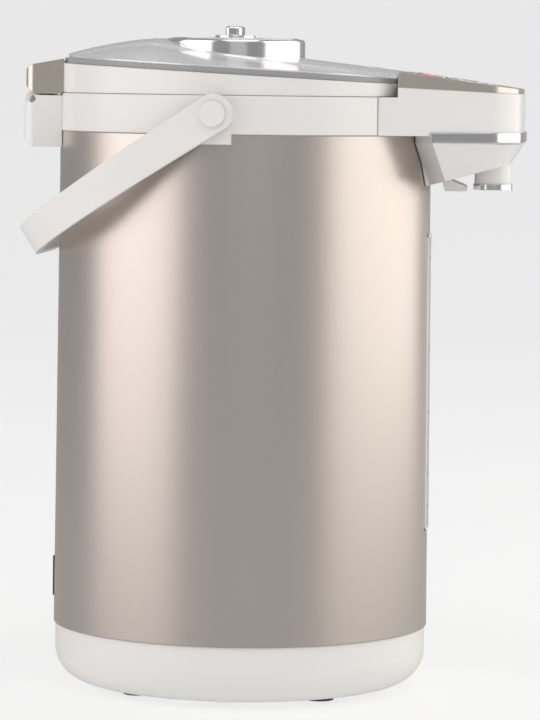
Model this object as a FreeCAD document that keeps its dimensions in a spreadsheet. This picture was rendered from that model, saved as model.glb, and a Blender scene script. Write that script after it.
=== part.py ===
import FreeCAD, Part
import math
import os
import re
import Sketcher
from FreeCAD import Placement, Rotation, Vector

# Electric thermo pot of the five litre class, in millimetres.
# +Z is up, the spout looks toward -Y, the lid hinge is at +Y, and the origin
# lies on the ground under the axis of the round body.

SIZES = {
    # Round body, from the ground up
    "foot_height": 3, "foot_radius": 8, "foot_circle": 70,
    "base_step": 1, "base_top": 35, "base_wall": 2.5, "base_corner": 18,
    "plate_radius": 80, "plate_wall": 2.5, "plate_gap": 0.5,
    "body_radius_low": 103.6, "body_radius_high": 102, "body_top": 306, "skin": 1.2,
    "frame_step": 1, "frame_wall": 2.5,
    # Collar
    "collar_step": 0.3, "collar_top": 326.5, "collar_wall": 2.5,
    "mouth_radius": 88, "lip_wall": 2, "collar_roof": 3,
    # Water vessel
    "pot_radius": 84.2, "pot_wall": 1, "pot_floor": 62, "pot_top": 303.2,
    "pot_flange": 92, "pot_neck": 78, "flange_wall": 1.5,
    "stand_radius": 66, "stand_wall": 3, "inlet_bore": 5, "inlet_y": -40,
    "jacket_wall": 3, "jacket_low": 94, "jacket_high": 278,
    "band_low": 72, "band_high": 90, "band_wall": 2.4,
    "heater_radius": 60, "heater_wall": 3.7,
    # Pump and pipes
    "pump_radius": 20, "pump_height": 15, "pump_wall": 2, "rotor_radius": 14,
    "rotor_height": 4, "shaft_radius": 1.5, "motor_radius": 13, "motor_height": 11,
    "tube_inset": 7.8, "tube_radius": 4.5, "tube_bore": 3, "tube_low": 40, "tube_high": 286,
    "pipe_radius": 5.8, "pipe_level": 294, "spout_pipe_radius": 5,
    # Water gauge
    "gauge_width": 15, "gauge_low": 90, "gauge_high": 250, "gauge_rise": 0.1,
    # Mains inlet
    "socket_level": 59, "socket_width": 33, "socket_height": 22, "socket_sink": 0.6,
    "socket_depth": 14, "recess_width": 24, "recess_height": 13, "recess_depth": 9,
    # Hood over the spout
    "nose_y": -152.8, "nose_width": 76, "hood_width": 150, "hood_back": -88.5,
    "hood_root_y": -55, "hood_wall": 2.5, "nose_corner": 24, "hood_gap": 0.2,
    "panel_back_low": 333.2, "panel_front_low": 328.8, "panel_rise_back": 7.1,
    "panel_rise_front": 2.6, "panel_inset": 0.8,
    "chin_level": 302, "chin_taper": 32, "chin_depth": 26, "chin_y": -147,
    "chin_low": 291, "hood_low": 278, "throat_width": 66, "throat_y": -95, "cheek_y": -107,
    "hood_low_y": -100, "strip_low": 302.8, "strip_high": 308, "strip_end": -106,
    "strip_depth": 0.9, "strip_rise": 0.8,
    # Spout nozzle and cup lever
    "nozzle_y": -136.5, "nozzle_radius": 10, "nozzle_low": 278, "nozzle_high": 297,
    "ring_radius": 10.7, "ring_height": 3.2, "ring_bore": 5.5, "ring_lap": 1.6,
    "lever_pivot_y": -111, "lever_pivot_z": 285.3, "lever_width": 20, "lever_low": 275.5,
    "lever_front": -122, "lever_head": 2.6, "lever_pin_radius": 1.5, "lever_pin_length": 28,
    # Buttons, display and their board
    "button_radius": 6, "big_button_radius": 9, "button_proud": 0.3, "button_gap": 0.25,
    "button_length": 11, "board_level": 318, "board_wall": 1.6,
    "board_width": 62, "board_back": -107, "board_front": -144, "post_radius": 2.5,
    "display_length": 14, "display_width": 30, "display_y": -101, "display_wall": 1.5,
    "button_row": 24, "button_y": -121, "big_button_y": -130, "back_button_y": -102,
    # Lid
    "lid_radius": 101.5, "lid_low": 326.8, "lid_front": -88, "lid_wall": 3, "lid_floor": 2.5,
    "ledge_level": 337.8, "ledge_slope": 0.05, "ledge_height": 3, "ledge_radius": 99.8,
    "ledge_width": 4.5, "cover_radius": 97.8, "cover_wall": 2.4, "cover_crest": 357,
    "cover_rear": 347.8, "cover_front": 340.6, "platform_half": 43, "platform_crown": 3.4,
    "cover_rim": 1,
    "plug_radius": 82, "plug_low": 307, "plug_wall": 2.5, "gasket_inner": 78.6,
    "gasket_outer": 84, "vent_pitch": 4.7, "vent_radius": 1.1, "vent_count": 7,
    "vent_start_y": -39.7, "vent_x": 31,
    # Air pump in the lid
    "disc_y": 6.5, "disc_radius": 38.5, "disc_top": 357, "disc_height": 10.5, "disc_gap": 0.6,
    "disc_edge": 2, "disc_travel": 15, "bellows_radius": 31, "bellows_wall": 1.2,
    "spring_radius": 14, "spring_wire": 1.6, "spring_turns": 4, "valve_radius": 9,
    "valve_height": 6, "knob_radius": 11, "knob_base": 2, "knob_width": 9, "knob_rise": 7,
    "knob_stem": 4, "fit": 0.05,
    # Lid latch
    "latch_width": 26, "latch_back": -68, "latch_wall": 3.2, "latch_pin_y": -71,
    "latch_pin_z": 337.5, "latch_pin_radius": 1.2, "latch_pin_length": 34,
    "latch_top": 342.3, "latch_gap": 0.4, "latch_sweep": 2.4,
    # Rear hinge
    "hinge_y": 114, "hinge_z": 323, "hinge_pin_radius": 2, "knuckle_radius": 4.5,
    "hinge_half": 32, "hinge_rear": 119, "block_low": 297, "block_top": 322.4,
    "block_round": 6, "cap_rear": 118, "cap_low": 325.8, "cap_top": 341.6,
    "cap_slope": 4.6, "cap_chamfer": 4.6, "lug_inner": 12, "lug_outer": 20,
    "lug_gap": 0.4, "cheek_wall": 3.5,
    # Bail handle
    "bail_y": 4.8, "bail_z": 317, "bail_angle": -33, "bail_reach": 133, "bail_wall": 5,
    "bail_width": 21, "bail_inner": 104.9, "bail_bend": 92, "grip_width": 16.5,
    "plate_y": 4.8, "pivot_width": 19, "pivot_low": 300.8, "pivot_high": 325.6,
    "pivot_face": 104.6, "pivot_pin_radius": 4, "pivot_root": 102.5, "pivot_head": 7,
    "pivot_head_wall": 1.8,
}

doc = FreeCAD.newDocument("ThermoPot")
sheet = doc.addObject("Spreadsheet::Sheet", "Sizes")
for row, (alias, size) in enumerate(SIZES.items(), 1):
    sheet.set("A%d" % row, alias)
    sheet.set("B%d" % row, str(size))
    sheet.setAlias("B%d" % row, alias)
doc.recompute()

NODES = {}


def bound(text):
    """The expression with each size name pointing at the sheet."""
    return re.sub(r"[a-z_]+", lambda m: "Sizes." + m[0] if m[0] in SIZES else m[0], str(text))


def value(text):
    return float(sheet.evalExpression(str(text)))


def tie(thing, **sizes):
    for name, text in sizes.items():
        thing.setExpression(name, bound(text))


def place(thing, at, axis=Vector(0, 0, 1), angle=0, tilt=None):
    """Puts an object at three bound coordinates, turned about an axis."""
    thing.Placement = Placement(Vector(*[value(text) for text in at]), Rotation(axis, angle))
    for letter, text in zip("xyz", at):
        thing.setExpression("Placement.Base." + letter, bound(text))
    if tilt:
        thing.Placement.Rotation = Rotation(axis, value(tilt))
        thing.setExpression("Placement.Rotation.Angle", bound(tilt))
    return thing


def keep(node, thing):
    """Names the finished sub-part."""
    thing.Label = node
    NODES[node] = thing
    return thing


def rod(name, radius, length, at, along="Z"):
    thing = doc.addObject("Part::Cylinder", name)
    tie(thing, Radius=radius, Height=length)
    turn = {"Z": (Vector(0, 0, 1), 0), "X": (Vector(0, 1, 0), 90), "Y": (Vector(1, 0, 0), -90)}
    return place(thing, at, *turn[along])


def block(name, size, at):
    thing = doc.addObject("Part::Box", name)
    tie(thing, Length=size[0], Width=size[1], Height=size[2])
    return place(thing, at)


def ball(name, radius, at):
    thing = doc.addObject("Part::Sphere", name)
    tie(thing, Radius=radius)
    return place(thing, at)


def joined(name, things):
    thing = doc.addObject("Part::MultiFuse", name)
    thing.Shapes = things
    return thing


def without(name, base, tools):
    """The base with every tool cut away."""
    thing = doc.addObject("Part::Cut", name)
    thing.Base = base
    thing.Tool = tools[0] if len(tools) == 1 else joined(name + "Tools", tools)
    return thing


def shared(name, things):
    thing = doc.addObject("Part::MultiCommon", name)
    thing.Shapes = things
    return thing


def outline(body, role, points):
    """A closed outline whose corners are tied to the sheet."""
    sketch = body.newObject("Sketcher::SketchObject", body.Name + "Outline")
    plane = [item for item in body.Origin.OriginFeatures if item.Role == role][0]
    sketch.AttachmentSupport = [(plane, "")]
    sketch.MapMode = "FlatFace"
    corners = [Vector(value(across), value(up), 0) for across, up in points]
    for index, corner in enumerate(corners):
        sketch.addGeometry(Part.LineSegment(corner, corners[(index + 1) % len(corners)]))
    for index, pair in enumerate(points):
        previous = (index - 1) % len(points)
        sketch.addConstraint(Sketcher.Constraint("Coincident", previous, 2, index, 1))
        for kind, text in zip(("DistanceX", "DistanceY"), pair):
            number = sketch.addConstraint(
                Sketcher.Constraint(kind, -1, 1, index, 1, value(text)))
            sketch.setExpression("Constraints[%d]" % number, bound(text))
    return sketch


def turned(name, points):
    """A ring or disc turned about Z from a profile of (radius, height)."""
    body = doc.addObject("PartDesign::Body", name)
    sketch = outline(body, "XZ_Plane", points)
    spin = body.newObject("PartDesign::Revolution", name + "Turn")
    spin.Profile = sketch
    spin.ReferenceAxis = (sketch, ["V_Axis"])
    spin.Angle = 360
    return body


def slab(name, role, points, length, middle=True):
    """A flat outline padded to a length, to both sides of its plane or to one."""
    body = doc.addObject("PartDesign::Body", name)
    sketch = outline(body, role, points)
    pad = body.newObject("PartDesign::Pad", name + "Pad")
    pad.Profile = sketch
    pad.Midplane = middle
    pad.setExpression("Length", bound(length))
    return body


def rounded(body, radius, wanted, kind="PartDesign::Fillet"):
    """Rounds or bevels the edges of a body that the test picks."""
    doc.recompute()
    tip = body.Tip
    names = ["Edge%d" % (index + 1) for index, edge in enumerate(tip.Shape.Edges)
             if wanted(edge)]
    if not names:
        raise ValueError("no edge found on " + body.Name)
    edit = body.newObject(kind, body.Name + "Round%d" % len(body.Group))
    edit.Base = (tip, names)
    edit.setExpression("Radius" if kind.endswith("Fillet") else "Size", bound(radius))
    return body


def near(one, other):
    return abs(one - other) < 0.01


def level_ring(radius, height):
    """The test for a circle of a radius at a height."""
    def wanted(edge):
        box = edge.BoundBox
        return (near(box.ZMin, value(height)) and near(box.ZMax, value(height))
                and near(box.XMax, value(radius)))
    return wanted


def along(axis, **limits):
    """The test for straight edges along an axis, inside limits such as YMax."""
    def wanted(edge):
        box = edge.BoundBox
        long_way = {"X": box.XLength, "Y": box.YLength, "Z": box.ZLength}
        others = sum(size for name, size in long_way.items() if name != axis)
        inside = all(getattr(box, side) <= value(text) + 0.01 if side.endswith("Max")
                     else getattr(box, side) >= value(text) - 0.01
                     for side, text in limits.items())
        return long_way[axis] > 0.1 and others < 0.01 and inside
    return wanted


tube_y = "(tube_inset - body_radius_high)"

# Base cover, bottom plate, feet and screws
base = turned("BaseShell", [
    ("plate_radius + plate_gap", "foot_height"), ("(body_radius_low - base_step)", "foot_height"),
    ("(body_radius_low - base_step)", "base_top"), ("(body_radius_low - base_step) - base_wall", "base_top"),
    ("(body_radius_low - base_step) - base_wall", "foot_height + base_wall"),
    ("plate_radius + plate_gap", "foot_height + base_wall")])
rounded(base, "base_corner", level_ring("(body_radius_low - base_step)", "foot_height"))
rounded(base, "base_corner - base_wall",
        level_ring("(body_radius_low - base_step) - base_wall", "foot_height + base_wall"))
keep("base_cover", base)

four = [(math.cos(math.radians(45 + 90 * turn)), math.sin(math.radians(45 + 90 * turn)))
        for turn in range(4)]
foot_places = [("foot_circle * %.9f" % across, "foot_circle * %.9f" % deep)
               for across, deep in four]
screw_places = [("foot_circle * %.9f" % math.cos(math.radians(90 * turn)),
                 "foot_circle * %.9f" % math.sin(math.radians(90 * turn)))
                for turn in range(4)]
plate = turned("PlateDisc", [("0", "foot_height"), ("plate_radius", "foot_height"),
                             ("plate_radius", "foot_height + plate_wall"),
                             ("0", "foot_height + plate_wall")])
plate_lip = turned("PlateLip", [
    ("plate_radius - base_wall", "foot_height + plate_wall"),
    ("plate_radius + base_wall", "foot_height + plate_wall"),
    ("plate_radius + base_wall", "foot_height + plate_wall * 2"),
    ("plate_radius - base_wall", "foot_height + plate_wall * 2")])
board_posts = [rod("BoardPost%d" % index, "post_radius", "plate_wall + 0.6",
                   (text_x, text_y, "foot_height + plate_wall"))
               for index, (text_x, text_y) in enumerate(
                   [("-28", "28"), ("28", "28"), ("-28", "62"), ("28", "62")])]
screw_holes = [rod("ScrewHole%d" % index, "2.1", "plate_wall * 3", (across, deep, "foot_height"))
               for index, (across, deep) in enumerate(screw_places)]
keep("bottom_plate", without("BottomPlate", joined("PlateWhole", [plate, plate_lip] + board_posts),
                             screw_holes))
keep("rubber_feet", joined("Feet", [
    rod("Foot%d" % index, "foot_radius", "foot_height", (across, deep, "0"))
    for index, (across, deep) in enumerate(foot_places)]))
keep("base_screws", joined("Screws", [
    joined("Screw%d" % index, [
        rod("ScrewShank%d" % index, "2", "plate_wall * 2", (across, deep, "foot_height")),
        rod("ScrewHead%d" % index, "3.6", "1.4", (across, deep, "foot_height - 1.4"))])
    for index, (across, deep) in enumerate(screw_places)]))

# Inner frame that closes the base and carries the vessel
frame_disc = turned("FrameDisc", [("0", "base_top"), ("(body_radius_high - frame_step)", "base_top"),
                                  ("(body_radius_high - frame_step)", "base_top + frame_wall"),
                                  ("0", "base_top + frame_wall")])
keep("inner_frame", without("InnerFrame", frame_disc, [
    rod("InletPass", "inlet_bore + 3", "frame_wall", ("0", "inlet_y", "base_top")),
    rod("TubePass", "pipe_radius + 0.4", "frame_wall", ("0", tube_y, "base_top")),
    rod("WirePass", "6", "frame_wall", ("30", "60", "base_top"))]))
keep("pot_stand", turned("Stand", [
    ("stand_radius", "base_top + frame_wall"),
    ("stand_radius + stand_wall", "base_top + frame_wall"),
    ("stand_radius + stand_wall", "pot_floor"), ("stand_radius", "pot_floor")]))

# Metal sleeve with the gauge window in front and the mains inlet behind
sleeve = turned("Sleeve", [("body_radius_low - skin", "base_top"), ("body_radius_low", "base_top"),
                           ("body_radius_high", "body_top"),
                           ("body_radius_high - skin", "body_top")])
gauge_slot = block("GaugeSlot", ("gauge_width", "body_radius_low", "gauge_high - gauge_low"),
                   ("-gauge_width / 2", "-body_radius_low - 5", "gauge_low"))
pipe_notch = block("PipeNotch", ("pipe_radius * 2 + 4", "body_radius_low", "body_top"),
                   ("-pipe_radius - 2", "-body_radius_low - 5", "pipe_level - pipe_radius - 4"))
inlet_slot = block("InletSlot", ("socket_width", "body_radius_low", "socket_height"),
                   ("-socket_width / 2", "10", "socket_level - socket_height / 2"))
keep("body_sleeve", without("BodySleeve", sleeve, [gauge_slot, pipe_notch, inlet_slot]))

gauge_ring = turned("GaugeRing", [
    ("body_radius_low - skin", "base_top"), ("body_radius_low + gauge_rise", "base_top"),
    ("body_radius_high + gauge_rise", "body_top"), ("body_radius_high - skin", "body_top")])
keep("gauge_window", shared("GaugeWindow", [gauge_ring, block(
    "GaugeReach", ("gauge_width - 0.2", "body_radius_low", "gauge_high - gauge_low - 0.2"),
    ("-gauge_width / 2 + 0.1", "-body_radius_low - 5", "gauge_low + 0.1"))]))

keep("power_inlet", without("PowerInlet", block(
    "InletBody", ("socket_width - 0.2", "socket_depth", "socket_height - 0.2"),
    ("-socket_width / 2 + 0.1", "(body_radius_low - socket_sink) - socket_depth",
     "socket_level - socket_height / 2 + 0.1")), [block(
         "InletRecess", ("recess_width", "recess_depth + 5", "recess_height"),
         ("-recess_width / 2", "(body_radius_low - socket_sink) - recess_depth",
          "socket_level - recess_height / 2"))]))
keep("inlet_pins", joined("Pins", [
    rod("Pin%d" % side, "1.6", "recess_depth - 2",
        ("%d * recess_width / 4" % side, "(body_radius_low - socket_sink) - recess_depth", "socket_level"), "Y")
    for side in (-1, 1)]))

# Vessel, heaters and sensors
pot_shell = turned("PotShell", [
    ("0", "pot_floor"), ("pot_radius + pot_wall", "pot_floor"),
    ("pot_radius + pot_wall", "pot_top - flange_wall"), ("pot_flange", "pot_top - flange_wall"),
    ("pot_flange", "pot_top"), ("pot_neck", "pot_top"),
    ("pot_neck", "pot_top - flange_wall"), ("pot_radius", "pot_top - 12"),
    ("pot_radius", "pot_floor + pot_wall"), ("0", "pot_floor + pot_wall")])
rounded(pot_shell, "8", level_ring("pot_radius + pot_wall", "pot_floor"))
rounded(pot_shell, "8 - pot_wall", level_ring("pot_radius", "pot_floor + pot_wall"))
keep("inner_pot", without("InnerPot", pot_shell, [
    rod("PotDrain", "inlet_bore", "pot_wall * 3", ("0", "inlet_y", "pot_floor - pot_wall"))]))
keep("suction_pipe", without("SuctionPipe", rod(
    "SuctionOuter", "inlet_bore + 2", "pot_floor - base_top - frame_wall + frame_wall",
    ("0", "inlet_y", "base_top")), [rod(
        "SuctionBore", "inlet_bore", "pot_floor", ("0", "inlet_y", "base_top - 5"))]))
keep("heater_plate", without("HeaterPlate", rod(
    "HeaterDisc", "heater_radius", "heater_wall", ("0", "0", "pot_floor - heater_wall")), [rod(
        "HeaterPass", "inlet_bore + 2.5", "heater_wall",
        ("0", "inlet_y", "pot_floor - heater_wall"))]))
keep("warming_band", turned("Band", [
    ("pot_radius + pot_wall", "band_low"), ("pot_radius + pot_wall + band_wall", "band_low"),
    ("pot_radius + pot_wall + band_wall", "band_high"), ("pot_radius + pot_wall", "band_high")]))
jacket = turned("Jacket", [
    ("pot_radius + pot_wall", "jacket_low"),
    ("pot_radius + pot_wall + jacket_wall", "jacket_low"),
    ("pot_radius + pot_wall + jacket_wall", "jacket_high"),
    ("pot_radius + pot_wall", "jacket_high")])
keep("insulation_jacket", jacket)
keep("boil_thermostat", rod("Thermostat", "8", "6", ("30", "10", "pot_floor - heater_wall - 6")))
keep("thermal_fuse", block("Fuse", ("18", "5", "5"), ("-42", "10", "pot_floor - heater_wall - 5")))
keep("temperature_probe", rod("Probe", "4", "9", ("0", "35", "pot_floor - heater_wall - 9")))

# Centrifugal pump under the frame, its motor and its pipes to the spout
pump_low = "base_top - pump_height"
housing = rod("HousingOuter", "pump_radius", "pump_height", ("0", "inlet_y", pump_low))
housing_port = rod("HousingPort", "tube_radius + 0.5", "-" + tube_y + " + inlet_y - pipe_radius",
                   ("0", tube_y + " + pipe_radius", "base_top - pump_height / 2"), "Y")
chamber = rod("Chamber", "pump_radius - pump_wall", "pump_height - pump_wall * 2",
              ("0", "inlet_y", pump_low + " + pump_wall"))
port_bore = rod("PortBore", "tube_bore", "-" + tube_y + " + inlet_y",
                ("0", tube_y, "base_top - pump_height / 2"), "Y")
eye = rod("PumpEye", "inlet_bore", "pump_wall * 2", ("0", "inlet_y", "base_top - pump_wall"))
shaft_hole = rod("ShaftHole", "shaft_radius + fit", "pump_wall * 2",
                 ("0", "inlet_y", pump_low + " - pump_wall"))
keep("pump_housing", without("PumpHousing", joined("HousingWhole", [housing, housing_port]),
                             [chamber, port_bore, eye, shaft_hole]))
rotor_low = pump_low + " + pump_wall + 1"
vanes = [block("Vane%d" % index, ("rotor_radius - 4", "1.6", "rotor_height - 1"),
               ("0", "inlet_y", rotor_low + " + 1")) for index in range(5)]
for index, vane in enumerate(vanes):
    vane.Placement.Rotation = Rotation(Vector(0, 0, 1), 72 * index)
keep("pump_impeller", joined("Impeller", [
    rod("RotorDisc", "rotor_radius", "1.2", ("0", "inlet_y", rotor_low)),
    rod("RotorHub", "4", "rotor_height", ("0", "inlet_y", rotor_low)),
    rod("RotorShaft", "shaft_radius", "pump_wall * 2 + 3",
        ("0", "inlet_y", pump_low + " - pump_wall"))] + vanes))
keep("pump_motor", without("PumpMotor", rod(
    "MotorCan", "motor_radius", "motor_height", ("0", "inlet_y", pump_low + " - motor_height")),
    [rod("MotorBore", "shaft_radius + fit", "motor_height / 2",
         ("0", "inlet_y", pump_low + " - motor_height / 2"))]))
elbow = joined("ElbowSolid", [
    rod("ElbowUp", "pipe_radius", "tube_low - base_top + pump_height / 2 + 4",
        ("0", tube_y, "base_top - pump_height / 2")),
    ball("ElbowTurn", "pipe_radius", ("0", tube_y, "base_top - pump_height / 2"))])
keep("outlet_elbow", without("OutletElbow", elbow, [
    rod("ElbowSeat", "tube_radius", "20", ("0", tube_y, "tube_low")),
    rod("ElbowBore", "tube_bore", "30", ("0", tube_y, "base_top - pump_height / 2")),
    rod("ElbowSide", "tube_radius + 0.5", "20",
        ("0", tube_y + " + pipe_radius - 1.5", "base_top - pump_height / 2"), "Y"),
    rod("ElbowMouth", "tube_bore", "20", ("0", tube_y, "base_top - pump_height / 2"), "Y")]))
keep("level_tube", without("LevelTube", rod(
    "TubeOuter", "tube_radius", "tube_high - tube_low", ("0", tube_y, "tube_low")), [
        rod("TubeInner", "tube_bore", "tube_high", ("0", tube_y, "tube_low - 5"))]))
pipe_reach = tube_y + " - nozzle_y"
pipe_solid = joined("PipeSolid", [
    rod("PipeRise", "pipe_radius", "pipe_level - tube_high + 6", ("0", tube_y, "tube_high - 6")),
    ball("PipeBend", "pipe_radius", ("0", tube_y, "pipe_level")),
    rod("PipeRun", "spout_pipe_radius", pipe_reach, ("0", "nozzle_y", "pipe_level"), "Y"),
    ball("PipeTurn", "spout_pipe_radius", ("0", "nozzle_y", "pipe_level")),
    rod("PipeDrop", "spout_pipe_radius", "pipe_level - nozzle_low - 9",
        ("0", "nozzle_y", "nozzle_low + 9"))])
keep("spout_pipe", without("SpoutPipe", pipe_solid, [
    rod("PipeSeat", "tube_radius", "6", ("0", tube_y, "tube_high - 6")),
    rod("PipeBoreUp", "tube_bore", "pipe_level - tube_high + 3", ("0", tube_y, "tube_high - 3")),
    rod("PipeBoreOver", "tube_bore", pipe_reach, ("0", "nozzle_y", "pipe_level"), "Y"),
    rod("PipeBoreDown", "tube_bore", "pipe_level", ("0", "nozzle_y", "pipe_level - 50"))]))

# Mains board in the base
board_low = "foot_height + plate_wall * 2 + 0.6"
keep("power_board", block("MainsBoard", ("66", "44", "board_wall"), ("-33", "23", board_low)))
keep("power_board_parts", joined("MainsParts", [
    block("Transformer", ("20", "18", "14"), ("-24", "38", board_low + " + board_wall")),
    block("Relay", ("16", "12", "12"), ("8", "40", board_low + " + board_wall")),
    rod("Capacitor", "5", "14", ("20", "31", board_low + " + board_wall"))]))

# Collar around the mouth
collar = turned("Collar", [
    ("mouth_radius", "pot_top"), ("mouth_radius + lip_wall", "pot_top"),
    ("mouth_radius + lip_wall", "collar_top - collar_roof"),
    ("(body_radius_high + collar_step) - collar_wall", "collar_top - collar_roof"),
    ("(body_radius_high + collar_step) - collar_wall", "body_top"),
    ("(body_radius_high + collar_step)", "body_top"),
    ("(body_radius_high + collar_step)", "collar_top"), ("mouth_radius", "collar_top")])
rounded(collar, "1", level_ring("(body_radius_high + collar_step)", "collar_top"))
keep("upper_collar", collar)

# Hood that carries the spout in front of the collar


def hood_mass(name, inset, rise):
    """The hood's outer mass, drawn in by an inset and raised at its top by a rise."""
    side = slab(name + "Side", "YZ_Plane", [
        ("hood_root_y", "panel_back_low + %s" % rise),
        ("nose_y + %s" % inset, "panel_front_low + %s" % rise),
        ("nose_y + %s" % inset, "chin_level"),
        ("chin_y + %s" % inset, "chin_low + %s" % inset),
        ("hood_low_y", "hood_low + %s" % inset),
        ("hood_root_y", "hood_low + %s" % inset)], "hood_width + 20")
    corners = [("-nose_width / 2 + %s" % inset, "nose_y + %s" % inset),
               ("nose_width / 2 - %s" % inset, "nose_y + %s" % inset),
               ("hood_width / 2 - %s" % inset, "hood_root_y"),
               ("-hood_width / 2 + %s" % inset, "hood_root_y")]
    visor = slab(name + "Visor", "XY_Plane", corners, "chin_depth * 3", middle=False)
    rounded(visor, "nose_corner - %s" % inset, along("Z", YMax="nose_y + nose_corner"))
    place(visor, ("0", "0", "body_top + %s" % inset))
    cheek = ("nose_width / 2 + (hood_width - nose_width) / 2 * (cheek_y - nose_y)"
             " / (hood_root_y - nose_y) - %s" % inset)
    throat = "throat_width / 2 - %s" % inset
    corners[2:] = [(cheek, "cheek_y - %s / 2" % inset), (throat, "throat_y - %s / 2" % inset),
                   (throat, "hood_root_y"), ("-(%s)" % throat, "hood_root_y"),
                   ("-(%s)" % throat, "throat_y - %s / 2" % inset),
                   ("-(%s)" % cheek, "cheek_y - %s / 2" % inset)]
    jaw = slab(name + "Jaw", "XY_Plane", corners, "body_top + %s - chin_level" % inset, middle=False)
    rounded(jaw, "nose_corner - %s" % inset, along("Z", YMax="nose_y + nose_corner"))
    place(jaw, ("0", "0", "chin_level"))
    chin = slab(name + "Chin", "XY_Plane", corners, "chin_depth", middle=False)
    chin.Tip.Reversed = True
    chin.Tip.setExpression("TaperAngle", bound("-chin_taper"))
    front = value("nose_y") + value("nose_corner")
    rounded(chin, "nose_corner - %s" % inset, lambda edge: (
        edge.BoundBox.ZLength > 1 and edge.BoundBox.YMax < front))
    place(chin, ("0", "0", "chin_level"))
    return side, joined(name + "Plan", [visor, jaw, chin])


hood_side, hood_plan = hood_mass("Hood", "0", "0")
cavity_side, cavity_plan = hood_mass("HoodCavity", "hood_wall", "hood_wall * 2")
hood_solid = shared("HoodSolid", [hood_side, hood_plan])
hood_cavity = shared("HoodCavitySolid", [cavity_side, cavity_plan])
collar_core = rod("CollarCore", "(body_radius_high + collar_step) + hood_gap", "collar_top", ("0", "0", "0"))
lid_core = block("LidCore", ("hood_width * 2", "200", "100"),
                 ("-hood_width", "hood_back", "collar_top"))


def strip_mass(name, grow):
    """The hood's plan in a thin layer, grown outward."""
    plan = slab(name + "Plan", "XY_Plane", [
        ("-nose_width / 2 - %s" % grow, "nose_y - %s" % grow),
        ("nose_width / 2 + %s" % grow, "nose_y - %s" % grow),
        ("hood_width / 2 + %s" % grow, "hood_root_y"),
        ("-hood_width / 2 - %s" % grow, "hood_root_y")], "collar_top * 3")
    rounded(plan, "nose_corner + %s" % grow, along("Z", YMax="nose_y + nose_corner"))
    return plan


strip_box = block("StripBox", ("hood_width * 2", "60", "strip_high - strip_low"),
                  ("-hood_width", "strip_end - 60", "strip_low"))
strip_outer = shared("StripOuter", [strip_mass("StripGrown", "strip_rise"), strip_box])
strip_inner = strip_mass("StripShrunk", "-strip_depth")
keep("trim_strip", without("TrimStrip", strip_outer, [strip_inner]))
groove = without("StripGroove", shared("GrooveOuter", [strip_mass("GrooveGrown", "1"), block(
    "GrooveBox", ("hood_width * 2", "60", "strip_high - strip_low"),
    ("-hood_width", "strip_end - 60", "strip_low"))]), [strip_mass("GrooveShrunk", "-strip_depth")])
nozzle_hole = rod("NozzleHole", "nozzle_radius", "40", ("0", "nozzle_y", "nozzle_low"))
lever_slot = block("LeverSlot", ("lever_width + 1", "16", "20"),
                   ("-lever_width / 2 - 0.5", "lever_front - 2", "hood_low - 5"))
lever_brackets = joined("Brackets", [
    without("Bracket%d" % side, block(
        "BracketPlate%d" % side, ("2.5", "8", "lever_pivot_z - hood_low + 4"),
        ("%s" % start, "lever_pivot_y - 4", "hood_low + 5")),
        [rod("BracketBore%d" % side, "lever_pin_radius", "20",
             ("%s - 5" % start, "lever_pivot_y", "lever_pivot_z"), "X")])
    for side, start in ((0, "-lever_width / 2 - 3.2"), (1, "lever_width / 2 + 0.7"))])
hood_shell = without("HoodShell", hood_solid, [
    hood_cavity, collar_core, lid_core, groove, nozzle_hole, lever_slot])
keep("spout_hood", joined("SpoutHood", [hood_shell, lever_brackets]))

# Sloped control panel on the hood
panel_side = slab("PanelSide", "YZ_Plane", [
    ("hood_root_y", "panel_back_low"), ("nose_y", "panel_front_low"),
    ("nose_y", "panel_front_low + panel_rise_front"),
    ("hood_back", "panel_back_low + panel_rise_back"),
    ("hood_root_y", "panel_back_low + panel_rise_back")], "hood_width * 2")
panel_plan = strip_mass("Panel", "-panel_inset")
panel_under = block("PanelUnder", ("nose_width - 8", "48", "panel_rise_back"),
                    ("-nose_width / 2 + 4", "nose_y + 9", "panel_front_low - 4"))
slope = "atan((panel_rise_back + panel_back_low - panel_rise_front - panel_front_low)" \
        " / (hood_back - nose_y))"


def panel_top(deep):
    """The height of the panel's top face at a place along Y."""
    return ("panel_front_low + panel_rise_front + (panel_rise_back + panel_back_low"
            " - panel_rise_front - panel_front_low) * ((%s) - nose_y)"
            " / (hood_back - nose_y)" % deep)


BUTTONS = {
    "dispense_button": ("0", "big_button_y", "big_button_radius"),
    "lock_button": ("-button_row", "button_y", "button_radius"),
    "warm_button": ("button_row", "button_y", "button_radius"),
    "boil_button": ("button_row + 4", "back_button_y", "button_radius"),
}


def tilted_rod(name, radius, length, across, deep, rise):
    """A rod square to the panel's slope whose top stands above it by a rise."""
    thing = doc.addObject("Part::Cylinder", name)
    tie(thing, Radius=radius, Height=length)
    drop = "((%s) - (%s))" % (length, rise)
    place(thing, (across, "(%s) + %s * sin(%s)" % (deep, drop, slope),
                  panel_top(deep) + " - %s * cos(%s)" % (drop, slope)),
          Vector(1, 0, 0), tilt=slope)
    return thing


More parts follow.
